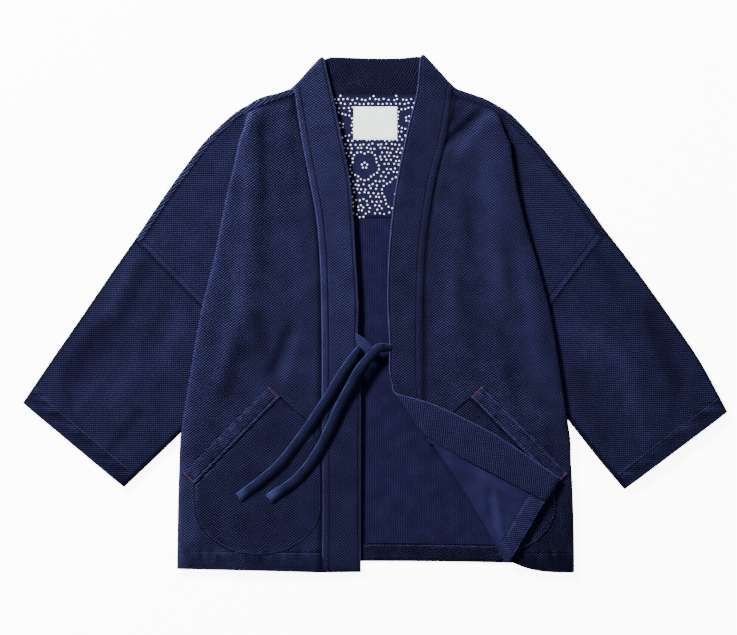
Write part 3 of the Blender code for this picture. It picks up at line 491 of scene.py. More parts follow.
SHOULDERS = [
    Shoulder(128.2, 337.0, 122.8, 337.2),
    Shoulder(170.0, 322.5, 164.5, 322.5),
    Shoulder(195.5, 310.5, 187.0, 310.5),
    Shoulder(215.0, 298.0, 205.0, 298.5),
    Shoulder(252.5, 262.5, 239.5, 262.5),
    Shoulder(281.0, 226.5, 269.5, 226.5),
    Shoulder(315.5, 178.5, 307.0, 178.5),
    Shoulder(360.0, 112.5, 346.0, 124.5),
]
RIGHT_FRONT = [
    Front(120.3, 327.5, 74.5, 373.0, 197.0, 301.0),
    Front(116.0, 297.0, 64.0, 327.0, 201.5, 268.0),
    Front(108.0, 247.0, 49.5, 259.0, 210.0, 226.0),
    Front(98.0, 196.0, 38.0, 200.0, 221.5, 178.0),
    Front(88.5, 143.0, 33.0, 146.0, 231.0, 131.0),
    Front(83.0, 80.0, 29.0, 80.0, 242.0, 76.0),
    Front(81.0, 15.0, 25.2, 15.0, 259.0, 8.0),
    Front(80.0, -55.0, 26.0, -50.0, 273.5, -70.5),
    Front(80.0, -120.0, 21.4, -118.0, 283.0, -126.0),
    Front(79.5, -186.0, 21.4, -186.0, 291.0, -186.0),
    Front(79.0, -250.0, 21.4, -250.0, 294.5, -250.0),
    Front(79.0, -320.0, 21.4, -320.0, 296.0, -318.0),
    Front(80.0, -389.3, 21.4, -389.3, 297.0, -384.0),
]
LEFT_FRONT = [
    Front(115.0, 327.5, 66.5, 376.0, 196.0, 294.0),
    Front(112.5, 297.0, 62.0, 331.0, 200.5, 262.0),
    Front(104.0, 252.0, 49.5, 281.0, 206.0, 222.0),
    Front(90.5, 200.0, 35.0, 213.0, 214.5, 176.0),
    Front(81.5, 145.0, 26.0, 155.0, 225.0, 132.0),
    Front(75.0, 85.0, 20.0, 88.0, 240.0, 82.0),
    Front(72.5, 20.0, 18.0, 20.0, 259.0, 12.0),
    Front(72.0, -48.0, 21.0, -46.0, 272.5, -60.0),
    Front(71.8, -105.0, 20.6, -84.0, 281.5, -120.0),
    Front(71.2, -172.0, 25.0, -106.0, 291.0, -185.0),
]
CORNER = [
    Corner(72.3, -172.8, 83.6, -187.6, 37.4, -121.6, 291.0, -185.0),
    Corner(84.5, -188.5, 100.0, -200.5, 82.0, -134.5, 293.0, -218.0),
    Corner(104.5, -218.0, 124.0, -214.0, 122.0, -152.0, 295.0, -252.0),
    Corner(130.6, -257.2, 160.0, -233.5, 171.0, -177.0, 296.5, -288.0),
    Corner(158.0, -302.0, 196.0, -252.0, 214.0, -204.0, 297.5, -325.0),
    Corner(179.0, -336.0, 226.0, -267.5, 249.0, -228.0, 298.0, -357.0),
    Corner(201.0, -371.5, 254.6, -282.0, 277.0, -247.5, 298.2, -389.3),
]
RIGHT_SLEEVE = [
    Sleeve(360.0, 112.5, 177.4, -70.5),
    Sleeve(402.0, 52.0, 227.0, -118.0),
    Sleeve(445.0, -11.0, 278.0, -166.5),
    Sleeve(488.0, -73.0, 330.0, -217.0),
    Sleeve(529.5, -134.5, 377.0, -261.5),
]
LEFT_SLEEVE = [
    Sleeve(346.0, 124.5, 208.9, -60.0),
    Sleeve(393.0, 64.0, 250.0, -111.5),
    Sleeve(441.0, -3.0, 292.0, -164.0),
    Sleeve(487.5, -71.0, 334.0, -217.5),
    Sleeve(529.5, -148.0, 374.0, -265.0),
]
# Creases listed where the photo shows them: start, end, width and height in mm
FRONT_FOLDS = [
    Fold(-187.0, 300.0, -193.0, 120.0, 14.0, 2.2),
    Fold(-193.0, 110.0, -205.0, -20.0, 19.0, 2.6),
    Fold(-212.0, -20.0, -236.0, -110.0, 13.0, 2.4),
    Fold(-167.0, 300.0, -165.0, 150.0, 9.0, -2.6),
    Fold(-164.0, 140.0, -172.0, 20.0, 14.0, -1.6),
    Fold(-176.0, 0.0, -163.0, -66.0, 13.0, -2.6),
    Fold(-194.0, -44.0, -226.0, -130.0, 15.0, -2.8),
    Fold(-126.0, -20.0, -157.0, -92.0, 9.0, -3.0),
    Fold(-112.0, -30.0, -138.0, -110.0, 10.0, 1.6),
    Fold(-128.0, 300.0, -110.0, 190.0, 8.0, -1.0),
    Fold(-122.0, 120.0, -108.0, 10.0, 14.0, 1.1),
    Fold(-120.0, -230.0, -112.0, -340.0, 16.0, -1.0),
    Fold(-200.0, -200.0, -206.0, -300.0, 18.0, 1.0),
    Fold(-262.0, -220.0, -272.0, -350.0, 9.0, 1.2),
    Fold(158.0, 302.0, 104.0, 254.0, 6.5, -4.6),
    Fold(176.0, 300.0, 124.0, 236.0, 9.0, 2.4),
    Fold(132.0, 312.0, 116.0, 284.0, 8.0, -2.2),
    Fold(98.0, 246.0, 80.0, 140.0, 6.0, -2.2),
    Fold(168.0, 250.0, 186.0, 20.0, 17.0, 2.2),
    Fold(138.0, 190.0, 146.0, 90.0, 10.0, -1.6),
    Fold(130.0, 60.0, 152.0, -60.0, 12.0, -1.6),
    Fold(118.0, 80.0, 112.0, -60.0, 11.0, 1.4),
    Fold(196.0, 110.0, 206.0, 30.0, 9.0, -1.4),
    Fold(222.0, 80.0, 246.0, -100.0, 12.0, 1.8),
    Fold(190.0, -20.0, 214.0, -140.0, 10.0, -1.6),
    Fold(262.0, -160.0, 270.0, -330.0, 9.0, -1.4),
    Fold(212.0, -130.0, 262.0, -160.0, 9.0, 1.2),
]


def relief(folds, x, y):
    """Height that the soft folds add at a place."""
    total = 0.0
    for fold in folds:
        along_x, along_y = fold.x1 - fold.x0, fold.y1 - fold.y0
        t = ((x - fold.x0) * along_x + (y - fold.y0) * along_y) / (along_x ** 2 + along_y ** 2)
        if not -0.2 < t < 1.2:
            continue
        side = math.hypot(x - fold.x0 - along_x * t, y - fold.y0 - along_y * t)
        if side < fold.width * 3:
            ends = ease(t / FOLD_ENDS + 0.5) * ease((1 - t) / FOLD_ENDS + 0.5)
            total += fold.height * fade(side, fold.width) * ends
    return total


def slack(x, y, seed):
    """Slight unevenness of cloth that was smoothed out by hand."""
    wide = rough(x / 60.0, y / 80.0, seed)
    fine = rough(x / 20.0, y / 27.0, seed + 5.0)
    return SLACK_WIDE * wide + SLACK_FINE * fine


def pucker(x, y, line_up):
    """Small gathers that a row of stitches pulls into the cloth on both sides of it."""
    reach = 12.0 if y < line_up else 6.0
    near = fade(y - line_up, reach)
    return near * rough(x / 7.0, y / 26.0, 3.0) * PUCKER


def turn_steps(count):
    """Angles of a half turn, without its start."""
    return [math.pi * (k + 1) / count for k in range(count)]


def shoulder_point(side, s):
    """Place on the shoulder silhouette, s from neck 0 to sleeve 1, and the way inward."""
    pick = (0, 1) if side < 0 else (2, 3)
    t = s * (len(SHOULDERS) - 1)
    here = through(SHOULDERS, t)
    ahead = through(SHOULDERS, t + 0.05)
    behind = through(SHOULDERS, t - 0.05)
    way = Vector((ahead[pick[0]] - behind[pick[0]], ahead[pick[1]] - behind[pick[1]]))
    inward = Vector((way.y, -way.x)).normalized()
    if s >= 1.0:
        first = (RIGHT_SLEEVE if side < 0 else LEFT_SLEEVE)[0]
        inward = Vector((first.under_out - first.top_out, first.under_up - first.top_up)).normalized()
    return Vector((here[pick[0]], here[pick[1]])), inward


def column_stations():
    """Where each column of a front starts on the shoulder line."""
    pleat = 2.05 / (len(SHOULDERS) - 1)
    half = 0.28 / (len(SHOULDERS) - 1)
    hidden = ROLL + TUCK + TUCK_TURN
    main = [(pleat - half) * a / MAIN for a in range(MAIN + 1)]
    turn = [lerp(pleat - half, pleat + half, (a + 1) / hidden) for a in range(hidden)]
    flap = [lerp(pleat + half, 1.0, (a + 1) / FLAP) for a in range(FLAP)]
    return main, turn, flap


def seam_height(up):
    """Height of the cloth along the band seam."""
    return BODY_Z - NECK_DROP * ease((up - 250) / 75) - HEM_DROP * ease((LOW_DROP_UP - up) / 200)


def stations(sections):
    """Rows of a front: evenly down its table, with one more just below the shoulder seam."""
    even = [i / ROWS_PER_SECTION for i in range(sections * ROWS_PER_SECTION + 1)]
    return sorted(set(even + [FLAT_TOP]))


def front_row(side, table, t, tucked=TUCKED):
    """Points of one row of a front, from inside the band to armhole seam or side seam."""
    row = Front(*through(table, t)[:6])
    sleeve = RIGHT_SLEEVE if side < 0 else LEFT_SLEEVE
    underarm = Vector((sleeve[0].under_out, sleeve[0].under_up))
    pleat_top = Vector((table[0].edge_out, table[0].edge_up))
    exit_row = table[EXIT_ROW]
    main_s, turn_s, flap_s = STATIONS
    below_sleeve = ease((exit_row.edge_up - 4 - row.edge_up) / 38)
    under_z = lerp(TUCK_Z, SIDE_Z, below_sleeve)
    roll = lerp(RIDGE_ROLL, SIDE_ROLL, below_sleeve)
    ridge_z = under_z + 2 * roll
    raised = ease((t - FLAT_TOP) / (RAISED_BY - FLAT_TOP))
    lowered = ease((t - FLAT_TOP) / (1.0 - FLAT_TOP))
    folded_in = ease((t - FOLD_FROM) / (FOLD_BY - FOLD_FROM))
    seam_z = seam_height(row.seam_up)
    top_z = SHOULDER_Z - SEAM_EDGE_DROP * (1 - ease(t / FLAT_TOP))
    row_hem_up = table[-1].seam_up + HEM_WIDTH
    shoulder = [p + way * (FLAT_DEPTH * min(t / FLAT_TOP, 1.0)) for p, way in SHOULDER_SEAM[side]]
    first_turn, first_flap = len(main_s), len(main_s) + len(turn_s)

    def place(out_up, z):
        """A point on this front's side of the jacket."""
        return Vector((side * out_up.x, out_up.y, z))

    def opening(top, flat):
        """A place that moves from the shoulder line to where the folded cloth lies."""
        return Vector((lerp(top.x, flat.x, folded_in), lerp(top.y, flat.y, lowered)))

    start = Vector((row.seam_out - tucked, row.seam_up))
    ridge_end = Vector((row.edge_out - roll, row.edge_up))
    last_main = shoulder[first_turn - 1]
    main_end = opening(last_main, ridge_end)
    top_start = Vector((table[0].seam_out - TUCKED, table[0].seam_up))
    points = []
    width = (main_end - start).length
    for a in range(len(main_s)):
        u = a / MAIN
        on_line = shoulder[a] if a else top_start
        flat = lerp(start, main_end, u) + (on_line - lerp(top_start, last_main, u)) * (1 - ease(t / 2))
        window = ease(u / 0.08) * ease((1 - u) / 0.12)
        x, y = side * flat.x, flat.y
        creases = relief(FRONT_FOLDS, x, y) + slack(x, y, 2.0 + side)
        z = lerp(seam_z, ridge_z, u ** MAIN_BOW) + creases * window
        ditch = u * width - tucked
        z += SWELL * fade(ditch - SWELL_AT, SWELL_REACH) - DITCH * fade(ditch, DITCH_REACH)
        z += HEM_RISE * ease((row_hem_up - flat.y) / 4.0) + HEM_PUCKER * pucker(x, y, row_hem_up)
        points.append(place(flat, lerp(top_z, z, raised)))

    depth = (pleat_top.y - row.edge_up) / (pleat_top.y - underarm.y)
    if depth <= 1.0:
        tuck_out = lerp(pleat_top.x, underarm.x, depth)
    else:
        way = (underarm.y - row.edge_up) / (underarm.y - exit_row.edge_up)
        tuck_out = min(lerp(underarm.x, exit_row.edge_out, way), row.edge_out - roll - 4)
    hidden = []
    for angle in turn_steps(ROLL):
        hidden.append((Vector((ridge_end.x + roll * math.sin(angle), row.edge_up)),
                       under_z + roll + roll * math.cos(angle)))
    for a in range(TUCK):
        hidden.append((Vector((lerp(ridge_end.x, tuck_out, (a + 1) / TUCK), row.edge_up)), under_z))
    flap_z = lerp(FLAP_LOW_Z, FLAP_Z, ease((depth - 0.8) / 0.2))
    turn = (TUCK_Z - flap_z) / 2
    for angle in turn_steps(TUCK_TURN):
        hidden.append((Vector((tuck_out - turn * math.sin(angle), row.edge_up)),
                       flap_z + turn + turn * math.cos(angle)))
    for k, (flat, z) in enumerate(hidden):
        u = (k + 1) / len(hidden)
        top = lerp(last_main, shoulder[first_flap - 1], u)
        slope_z = lerp(ridge_z, flap_z, u)
        points.append(place(opening(top, flat), lerp(top_z, lerp(slope_z, z, folded_in), raised)))

    flap_start = opening(shoulder[first_flap - 1], Vector((tuck_out, row.edge_up)))
    flap_end = lerp(shoulder[-1], underarm, min(depth, 1.0))
    top_flap = shoulder[first_flap - 1]
    for a in range(FLAP):
        u = (a + 1) / FLAP
        bow = (shoulder[first_flap + a] - lerp(top_flap, shoulder[-1], u)) * (1 - ease(t / 3))
        flat = lerp(flap_start, flap_end, u) + bow
        from_seam = (flap_end - flat).length
        strip_z = STRIP_RISE * ease((SEAM_STRIP + 1 - from_seam) / 3.0)
        strip_z -= STRIP_DITCH * fade(from_seam - SEAM_STRIP, STRIP_DITCH_REACH)
        window = ease((1 - u) / 0.2) * ease(u / 0.2) * ease(t / 1.5)
        soft = FLAP_SOFT * slack(side * flat.x, flat.y, 7.0) * window
        flat_z = lerp(top_z, lerp(flap_z, FLAP_Z, ease(u)), raised)
        points.append(place(flat, flat_z + strip_z * raised + soft))
    return points


def corner_way(t):
    """Way along the turned corner's fold, in plan."""
    ahead = through(CORNER, t + 0.1)
    behind = through(CORNER, t - 0.1)
    return Vector((ahead[0] - behind[0], ahead[1] - behind[1], 0)).normalized()


def fold_over(point, t):
    """Half turn at the corner's fold, from the front up onto itself, t sections along."""
    along = corner_way(t)
    outward = Vector((along.y, -along.x, 0))
    skew = CORNER_SKEW * max(1 - t / 3, 0.0)
    turn = []
    for angle in turn_steps(TURN_ROLL):
        lift = Vector((0, 0, CORNER_ROLL * (1 - math.cos(angle))))
        slide = along * (skew * angle / math.pi)
        turn.append(point + outward * (CORNER_ROLL * math.sin(angle)) + slide + lift)
    return turn


CORNER_FOLDS = [
    Fold(150.0, -250.0, 205.0, -350.0, 14.0, 1.6),
    Fold(120.0, -232.0, 190.0, -282.0, 8.0, -1.2),
    Fold(178.0, -262.0, 190.0, -340.0, 5.0, 2.0),
    Fold(150.0, -236.0, 216.0, -276.0, 6.0, 1.6),
    Fold(168.0, -280.0, 176.0, -318.0, 4.0, -1.3),
]


def left_front_grid():
    """Rows of the left front with its corner turned over."""
    grid = []
    hidden_start = TURN_FLAP + TURN_ROLL
    for t in stations(len(LEFT_FRONT) - 1)[:-1]:
        points = front_row(1, LEFT_FRONT, t)
        grid.append([points[0]] * hidden_start + points)
    table = LEFT_FRONT[:-1] + [Front(c.fold_out, c.fold_up, 0, 0, c.edge_out, c.edge_up) for c in CORNER]
    for i in range((len(CORNER) - 1) * ROWS_PER_SECTION + 1):
        t = i / ROWS_PER_SECTION
        row = Corner(*through(CORNER, t))
        points = front_row(1, table, len(LEFT_FRONT) - 1 + t, lerp(TUCKED, 0.0, ease(t / 0.6)))
        drop = (row.edge_up - row.fold_up) * ease(t - (len(CORNER) - 2))
        for a in range(1, MAIN):
            points[a].y += drop * (1 - (1 - a / MAIN) ** 3 - a / MAIN)
        turn = fold_over(points[0], t)
        ahead, behind = Corner(*through(CORNER, t + 0.1)), Corner(*through(CORNER, t - 0.1))
        along = Vector((ahead.seam_out - behind.seam_out, ahead.seam_up - behind.seam_up)).normalized()
        gap = -TUCKED * ease(t)
        end = Vector((row.seam_out + along.y * gap, row.seam_up - along.x * gap, turn[-1].z))
        if i == 0:
            shift = end - turn[-1]
            turn = [point + shift * ((k + 1) / TURN_ROLL) for k, point in enumerate(turn)]
        flap = []
        for a in range(TURN_FLAP):
            u = a / TURN_FLAP
            point = lerp(end, turn[-1], u)
            uneven = CORNER_UNEVEN * rough(point.x / 14.0, point.y / 18.0, 6.0)
            uneven += relief(CORNER_FOLDS, point.x, point.y)
            point.z += uneven * ease(u / 0.15) * ease((1 - u) / 0.2)
            flap.append(point)
        grid.append(flap + turn[::-1] + points)
    return grid


def cloth_sheet(name, grid, weave, stitching, wear_and_shade, materials, thickness=CLOTH, keep=None, ring=False,
                slot="sashiko", other=None):
    """A cloth wall through a grid of points: the first material is its upper or outer side.
    keep says which cells of the grid are cloth, other which of them take the next two materials."""
    rows, columns = len(grid), len(grid[0])
    faces, cells = [], []
    for i in range(rows - 1):
        for j in range(columns if ring else columns - 1):
            if keep is None or keep(i, j):
                k = (j + 1) % columns
                cells.append((i, j))
                faces.append((i * columns + j, i * columns + k, (i + 1) * columns + k, (i + 1) * columns + j))
    points = [p for row in grid for p in row]
    made = woven_object(name, points, faces, weave, stitching, wear_and_shade, materials)
    if other:
        for polygon, cell in zip(made.data.polygons, cells):
            polygon.material_index = 2 if other(*cell) else 0
    tidy = bmesh.new()
    tidy.from_mesh(made.data)
    bmesh.ops.remove_doubles(tidy, verts=tidy.verts, dist=1e-6)
    bmesh.ops.delete(tidy, geom=[v for v in tidy.verts if not v.link_faces], context="VERTS")
    bmesh.ops.recalc_face_normals(tidy, faces=tidy.faces)
    if not ring and sum(f.normal.z * f.calc_area() for f in tidy.faces) < 0:
        bmesh.ops.reverse_faces(tidy, faces=tidy.faces)
    tidy.to_mesh(made.data)
    tidy.free()
    wall = made.modifiers.new("wall", "SOLIDIFY")
    wall.thickness = thickness * MM
    wall.offset = 0.0
    wall.use_even_offset = False
    wall.material_offset = 1 if len(materials) > 1 else 0
    graph = bpy.context.evaluated_depsgraph_get()
    solid = bpy.data.meshes.new_from_object(made.evaluated_get(graph), depsgraph=graph)
    made.modifiers.clear()
    made.data = solid
    solid.set_sharp_from_angle(angle=math.radians(50))
    return made


STATIONS = column_stations()
SHOULDER_SEAM = {}
for side in (-1, 1):
    SHOULDER_SEAM[side] = []
    for s in STATIONS[0] + STATIONS[1] + STATIONS[2]:
        spot, inward = shoulder_point(side, s)
        SHOULDER_SEAM[side].append((spot + inward * (SHOULDER_WRAP - TUCKED), inward))
TURNED_FROM = len(stations(len(LEFT_FRONT) - 1)) - 1
folded = stations(len(RIGHT_FRONT) - 1).index(float(UNDERARM_ROW))
SLEEVE_SLANT, CORNER_SLANT = math.radians(34), -1.1
# How much paler or darker the parts of a front are, and over how many mm or columns that fades.
# Most of it is painted light and shade: paler ridges and darker hollows on creases and gathers, a pleat
# ridge painted pale on the right front and a little darker on the left, as lit from one side, and
# painted shadows beside the band, in the shoulder seam, on the side roll, beside the pleat, along the
# turned corner's fold and round the left front's lower corner. The gathers are also rubbed pale.
FOLD_LIGHT_AND_SHADE, CORNER_FOLD_LIGHT_AND_SHADE, PUCKER_WEAR_AND_SHADE = 0.045, 0.06, 0.14
INSIDE_PALE, STRIP_PALE = 0.12, 0.07
RIDGE_LIGHT_AND_SHADE, RIDGE_FADE = {-1: 0.17, 1: -0.05}, 5.0
BELOW_HEM_DARK, BELOW_HEM_FADE = 0.09, 8.0
BESIDE_BAND_SHADOW, SHOULDER_SEAM_SHADE, SHOULDER_SEAM_SHADE_ROWS = 0.24, 0.22, 4
SIDE_ROLL_SHADE, SIDE_FADE = 0.26, 3
PLEAT_SHADOW, PLEAT_SHADOW_FADE = 0.26, 13.0
CORNER_ROLL_SHADOW, CORNER_ROLL_SHADOW_FADE = 0.38, 2.2
CORNER_SHADOW, CORNER_SHADOW_OUT, CORNER_SHADOW_UP = 0.15, 190, -235


def front_cloth(grid, first, side):
    """Threads, lines of stitches, and paler or darker tone for every point of a front, most of it painted
    light and shade.
    """
    weave, stitching, wear_and_shade = [], [], []
    hem_up = grid[-1][first + MAIN // 2].y + HEM_WIDTH
    for i, row in enumerate(grid):
        for j, p in enumerate(row):
            column = j - first
            on_main = 0 <= column <= MAIN + ROLL
            beside = NO_LINE
            if column > MAIN + ROLL + TUCK + TUCK_TURN and i < folded:
                beside = (row[-1] - p).length - SEAM_STRIP
            stitching.append((p.y - hem_up if on_main else NO_LINE, beside))
            if column > MAIN + ROLL + TUCK:
                weave.append(turned(p.x, p.y, SLEEVE_SLANT))
            elif column < 0:
                weave.append(turned(p.x, p.y, CORNER_SLANT))
            else:
                weave.append((p.x, p.y))
            # Painted light on the pleat ridge: paler on the right front, which faces the light, a little
            # darker on the left.
            worn_and_shaded = RIDGE_LIGHT_AND_SHADE[side] * fade(column - MAIN - ROLL * 0.2, RIDGE_FADE)
            # Painted shade in the shoulder seam along the first rows.
            worn_and_shaded -= SHOULDER_SEAM_SHADE * max(0.0, 1 - i / SHOULDER_SEAM_SHADE_ROWS)
            if on_main:
                # Painted light and shade on the creases, paler on their ridges and darker in their hollows;
                # the same on the gathers by the hem, which are also rubbed pale.
                worn_and_shaded += FOLD_LIGHT_AND_SHADE * relief(FRONT_FOLDS, p.x, p.y) + PUCKER_WEAR_AND_SHADE * pucker(p.x, p.y, hem_up)
                worn_and_shaded -= BELOW_HEM_DARK * ease((hem_up - p.y) / BELOW_HEM_FADE)
                # Painted shadow along the band seam.
                worn_and_shaded -= BESIDE_BAND_SHADOW * fade(column - 1.5, 1.2)
            if on_main and i >= folded:
                # Painted shade on the side roll below the armhole.
                worn_and_shaded -= SIDE_ROLL_SHADE * ease((column - MAIN - 1) / SIDE_FADE)
            if on_main and side > 0:
                # Painted shadow round the left front's lower corner, beside the turned corner.
                worn_and_shaded -= CORNER_SHADOW * ease((p.x - CORNER_SHADOW_OUT) / 50) * ease((CORNER_SHADOW_UP - p.y) / 70)
            if column < 0:
                # Painted light and shade on the turned corner's creases.
                worn_and_shaded += CORNER_FOLD_LIGHT_AND_SHADE * relief(CORNER_FOLDS, p.x, p.y) + INSIDE_PALE
            if beside < 0:
                worn_and_shaded += STRIP_PALE
            if column > MAIN + ROLL and side > 0:
                past_ridge = p.x - row[first + MAIN + ROLL // 2].x
                # Painted shadow of the pleat on the drop shoulder beside it.
                worn_and_shaded -= PLEAT_SHADOW * fade(past_ridge, PLEAT_SHADOW_FADE)
            if i >= TURNED_FROM and first:
                # Painted shadow along the turned corner's fold edge.
                worn_and_shaded -= CORNER_ROLL_SHADOW * fade(column + 5.8, CORNER_ROLL_SHADOW_FADE)
            wear_and_shade.append(worn_and_shaded)
    return weave, stitching, wear_and_shade


right_grid = [front_row(-1, RIGHT_FRONT, t) for t in stations(len(RIGHT_FRONT) - 1)]
side_end = MAIN + ROLL + TUCK
front_cloths = [OUTSIDE, INSIDE, SLEEVE_CLOTH, INSIDE]
front_right = cloth_sheet("sashiko_front_right", right_grid, *front_cloth(right_grid, 0, -1), front_cloths,
                          keep=lambda i, j: i < folded or j < side_end, other=lambda i, j: j >= side_end)
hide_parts("front_right")

left_grid = left_front_grid()
hidden_start = TURN_FLAP + TURN_ROLL
front_left = cloth_sheet(
    "sashiko_front_left", left_grid, *front_cloth(left_grid, hidden_start, 1), front_cloths,
    other=lambda i, j: j >= side_end + hidden_start,
    keep=lambda i, j: (i < folded or j < side_end + hidden_start) and (i >= TURNED_FROM or j >= hidden_start))
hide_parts("front_left")

# Sleeves
# Wide straight tubes of the same cotton, sewn to the drop shoulder on a straight line. Each is laid
# flat on itself, and its cuff hem is turned in 25 mm and stitched.
SLEEVE_FLATS, SLEEVE_TURNS, SLEEVE_TOPS, SLEEVE_ROWS = 24, 10, 64, 20
CUFF_HEM, CUFF_PUCKER = 25.0, 0.7
# Sleeve tones: painted light and shade on the creases, painted shade in the armhole seam and on the rolled
# edges, a darker cuff below its stitches and a slightly darker sleeve.
SLEEVE_FOLD_LIGHT_AND_SHADE, CUFF_DARK, ARMHOLE_SEAM_SHADE, TURNED_EDGE_SHADE, SLEEVE_DARK = 0.05, 0.05, 0.14, 0.24, 0.02
CROWN_OUT, CROWN_RISE, ARMHOLE_DIP, DEEPEST_FOLD = 300, 2.2, 0.9, -2.6
SLEEVE_FOLDS = [
    Fold(-341.0, 80.0, -380.0, -22.0, 12.0, -2.0),
    Fold(-362.0, 86.0, -404.0, -10.0, 10.0, 1.2),
    Fold(-392.0, -14.0, -462.0, -100.0, 20.0, -2.8),
    Fold(-284.0, 0.0, -324.0, -84.0, 14.0, 1.8),
    Fold(-300.0, 40.0, -352.0, -70.0, 10.0, -0.9),
    Fold(-350.0, -60.0, -392.0, -140.0, 14.0, 1.3),
    Fold(-352.0, -150.0, -398.0, -210.0, 9.0, -1.4),
    Fold(-410.0, -100.0, -450.0, -150.0, 8.0, 1.0),
    Fold(-470.0, -100.0, -440.0, -180.0, 8.0, -1.0),
    Fold(276.0, -16.0, 392.0, -84.0, 22.0, 1.6),
    Fold(330.0, 96.0, 372.0, 20.0, 13.0, -1.4),
    Fold(408.0, 10.0, 458.0, -122.0, 14.0, -2.4),
    Fold(300.0, -80.0, 352.0, -196.0, 14.0, -1.4),
    Fold(378.0, -90.0, 408.0, -196.0, 13.0, 1.3),
    Fold(462.0, -100.0, 436.0, -190.0, 8.0, -0.9),
]


def sleeve_grid(side, table):
    """Rings round a flattened sleeve, from armhole seam to cuff."""
    rows = (len(table) - 1) * SLEEVE_ROWS
    start, end = table[0], table[-1]
    along = Vector((end.top_out - start.top_out, end.top_up - start.top_up))
    length = along.length
    along.normalize()
    grid, weave, stitching, wear_and_shade = [], [], [], []
    for i in range(rows + 1):
        row = Sleeve(*through(table, i / SLEEVE_ROWS))
        left = length * (rows - i) / rows
        shift = along * -2.0 if i == 0 else along * 0.0
        top = Vector((row.top_out, row.top_up)) + shift
        under = Vector((row.under_out, row.under_up)) + shift
        across = (under - top).normalized()
        inner_top = top + across * (SHOULDER_ROLL + CLOTH / 2)
        inner_under = under - across * (SHOULDER_ROLL + CLOTH / 2)
        ring = [(lerp(inner_top, inner_under, a / SLEEVE_FLATS), BACK_Z) for a in range(SLEEVE_FLATS + 1)]
        for angle in turn_steps(SLEEVE_TURNS):
            ring.append((inner_under + across * (SHOULDER_ROLL * math.sin(angle)),
                         BACK_Z + SHOULDER_ROLL * (1 - math.cos(angle))))
        for a in range(1, SLEEVE_TOPS + 1):
            u = a / SLEEVE_TOPS
            flat = lerp(inner_under, inner_top, u)
            crown = ease((flat.x - CROWN_OUT) / 60) * ease((1 - u) / 0.12) * ease(u / 0.12)
            soft = ease((i - 1) / 6) * ease((1 - u) / 0.12) * ease(u / 0.12)
            x = side * flat.x
            folds = max(relief(SLEEVE_FOLDS, x, flat.y) + slack(x, flat.y, 11.0 + side), DEEPEST_FOLD * soft)
            z = SHOULDER_Z + crown * CROWN_RISE + soft * folds * lerp(0.5, 1.0, crown)
            z -= ARMHOLE_DIP if i == 0 else 0.0
            z += HEM_RISE * ease((CUFF_HEM - left) / 4.0) + CUFF_PUCKER * pucker(flat.y, left, CUFF_HEM)
            ring.append((flat, z))
        for angle in turn_steps(SLEEVE_TURNS)[:-1]:
            ring.append((inner_top - across * (SHOULDER_ROLL * math.sin(angle)),
                         SHOULDER_Z - SHOULDER_ROLL * (1 - math.cos(angle))))
        grid.append([Vector((side * flat.x, flat.y, z)) for flat, z in ring])
        for k, p in enumerate(grid[-1]):
            weave.append(turned(p.x, p.y, SLEEVE_SLANT))
            stitching.append((left - CUFF_HEM, NO_LINE))
            # Painted light and shade on the creases: paler ridges, darker hollows.
            worn_and_shaded = SLEEVE_FOLD_LIGHT_AND_SHADE * relief(SLEEVE_FOLDS, p.x, p.y)
            # Gathers by the cuff, paler on their ridges: partly rubbed pale, partly painted light and shade.
            worn_and_shaded += PUCKER_WEAR_AND_SHADE * pucker(p.y, left, CUFF_HEM)
            # Painted shade in the armhole seam on the first rows.
            worn_and_shaded -= CUFF_DARK * ease((CUFF_HEM - left) / 4.0) + (ARMHOLE_SEAM_SHADE if i < 2 else 0.0)
            on_turn = k > SLEEVE_FLATS and (k <= SLEEVE_FLATS + SLEEVE_TURNS or k > len(ring) - SLEEVE_TURNS)
            # Painted shade on the sleeve's rolled edges.
            wear_and_shade.append(worn_and_shaded - (TURNED_EDGE_SHADE if on_turn else SLEEVE_DARK))
    return grid, weave, stitching, wear_and_shade


sleeves = {}
for side, name, table in ((-1, "sleeve_right", RIGHT_SLEEVE), (1, "sleeve_left", LEFT_SLEEVE)):
    sleeve = cloth_sheet("sashiko_" + name, *sleeve_grid(side, table), [SLEEVE_CLOTH, INSIDE], ring=True)
    sleeves[side] = sleeve
    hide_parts(name)

# Back
# One panel from hem to neck that comes over both shoulders to the seam in front. Its smoother inside
# faces up between the fronts, and its hem is turned up 27 mm.
NECK_UP, NECK_RISE, NECK_FROM, NECK_TOP = 327.8, 5.2, 290.0, 332.6
BACK_HEM_UP, BACK_HEM_ARCH, BACK_HALF = -381.0, 7.5, 296.0
BACK_ROLLS, BACK_COLUMNS, BACK_ROWS = 8, 72, 14
SHOULDER_STITCH = 4.6
ROUND_ROLL = (0.8, 0.6)
# The back's rolls round the shoulders are painted darker as shade; its strip at the shoulder seam is painted
# paler on the right and darker on the left, as lit from one side.
SHOULDER_ROLL_SHADE, OVER_SHOULDER_LIGHT_AND_SHADE = -0.2, {-1: 0.05, 1: -0.04}


def neck_seam(x):
    """How far up the back neck seam runs."""
    return NECK_UP + NECK_RISE * (abs(x) / 121.0) ** 4


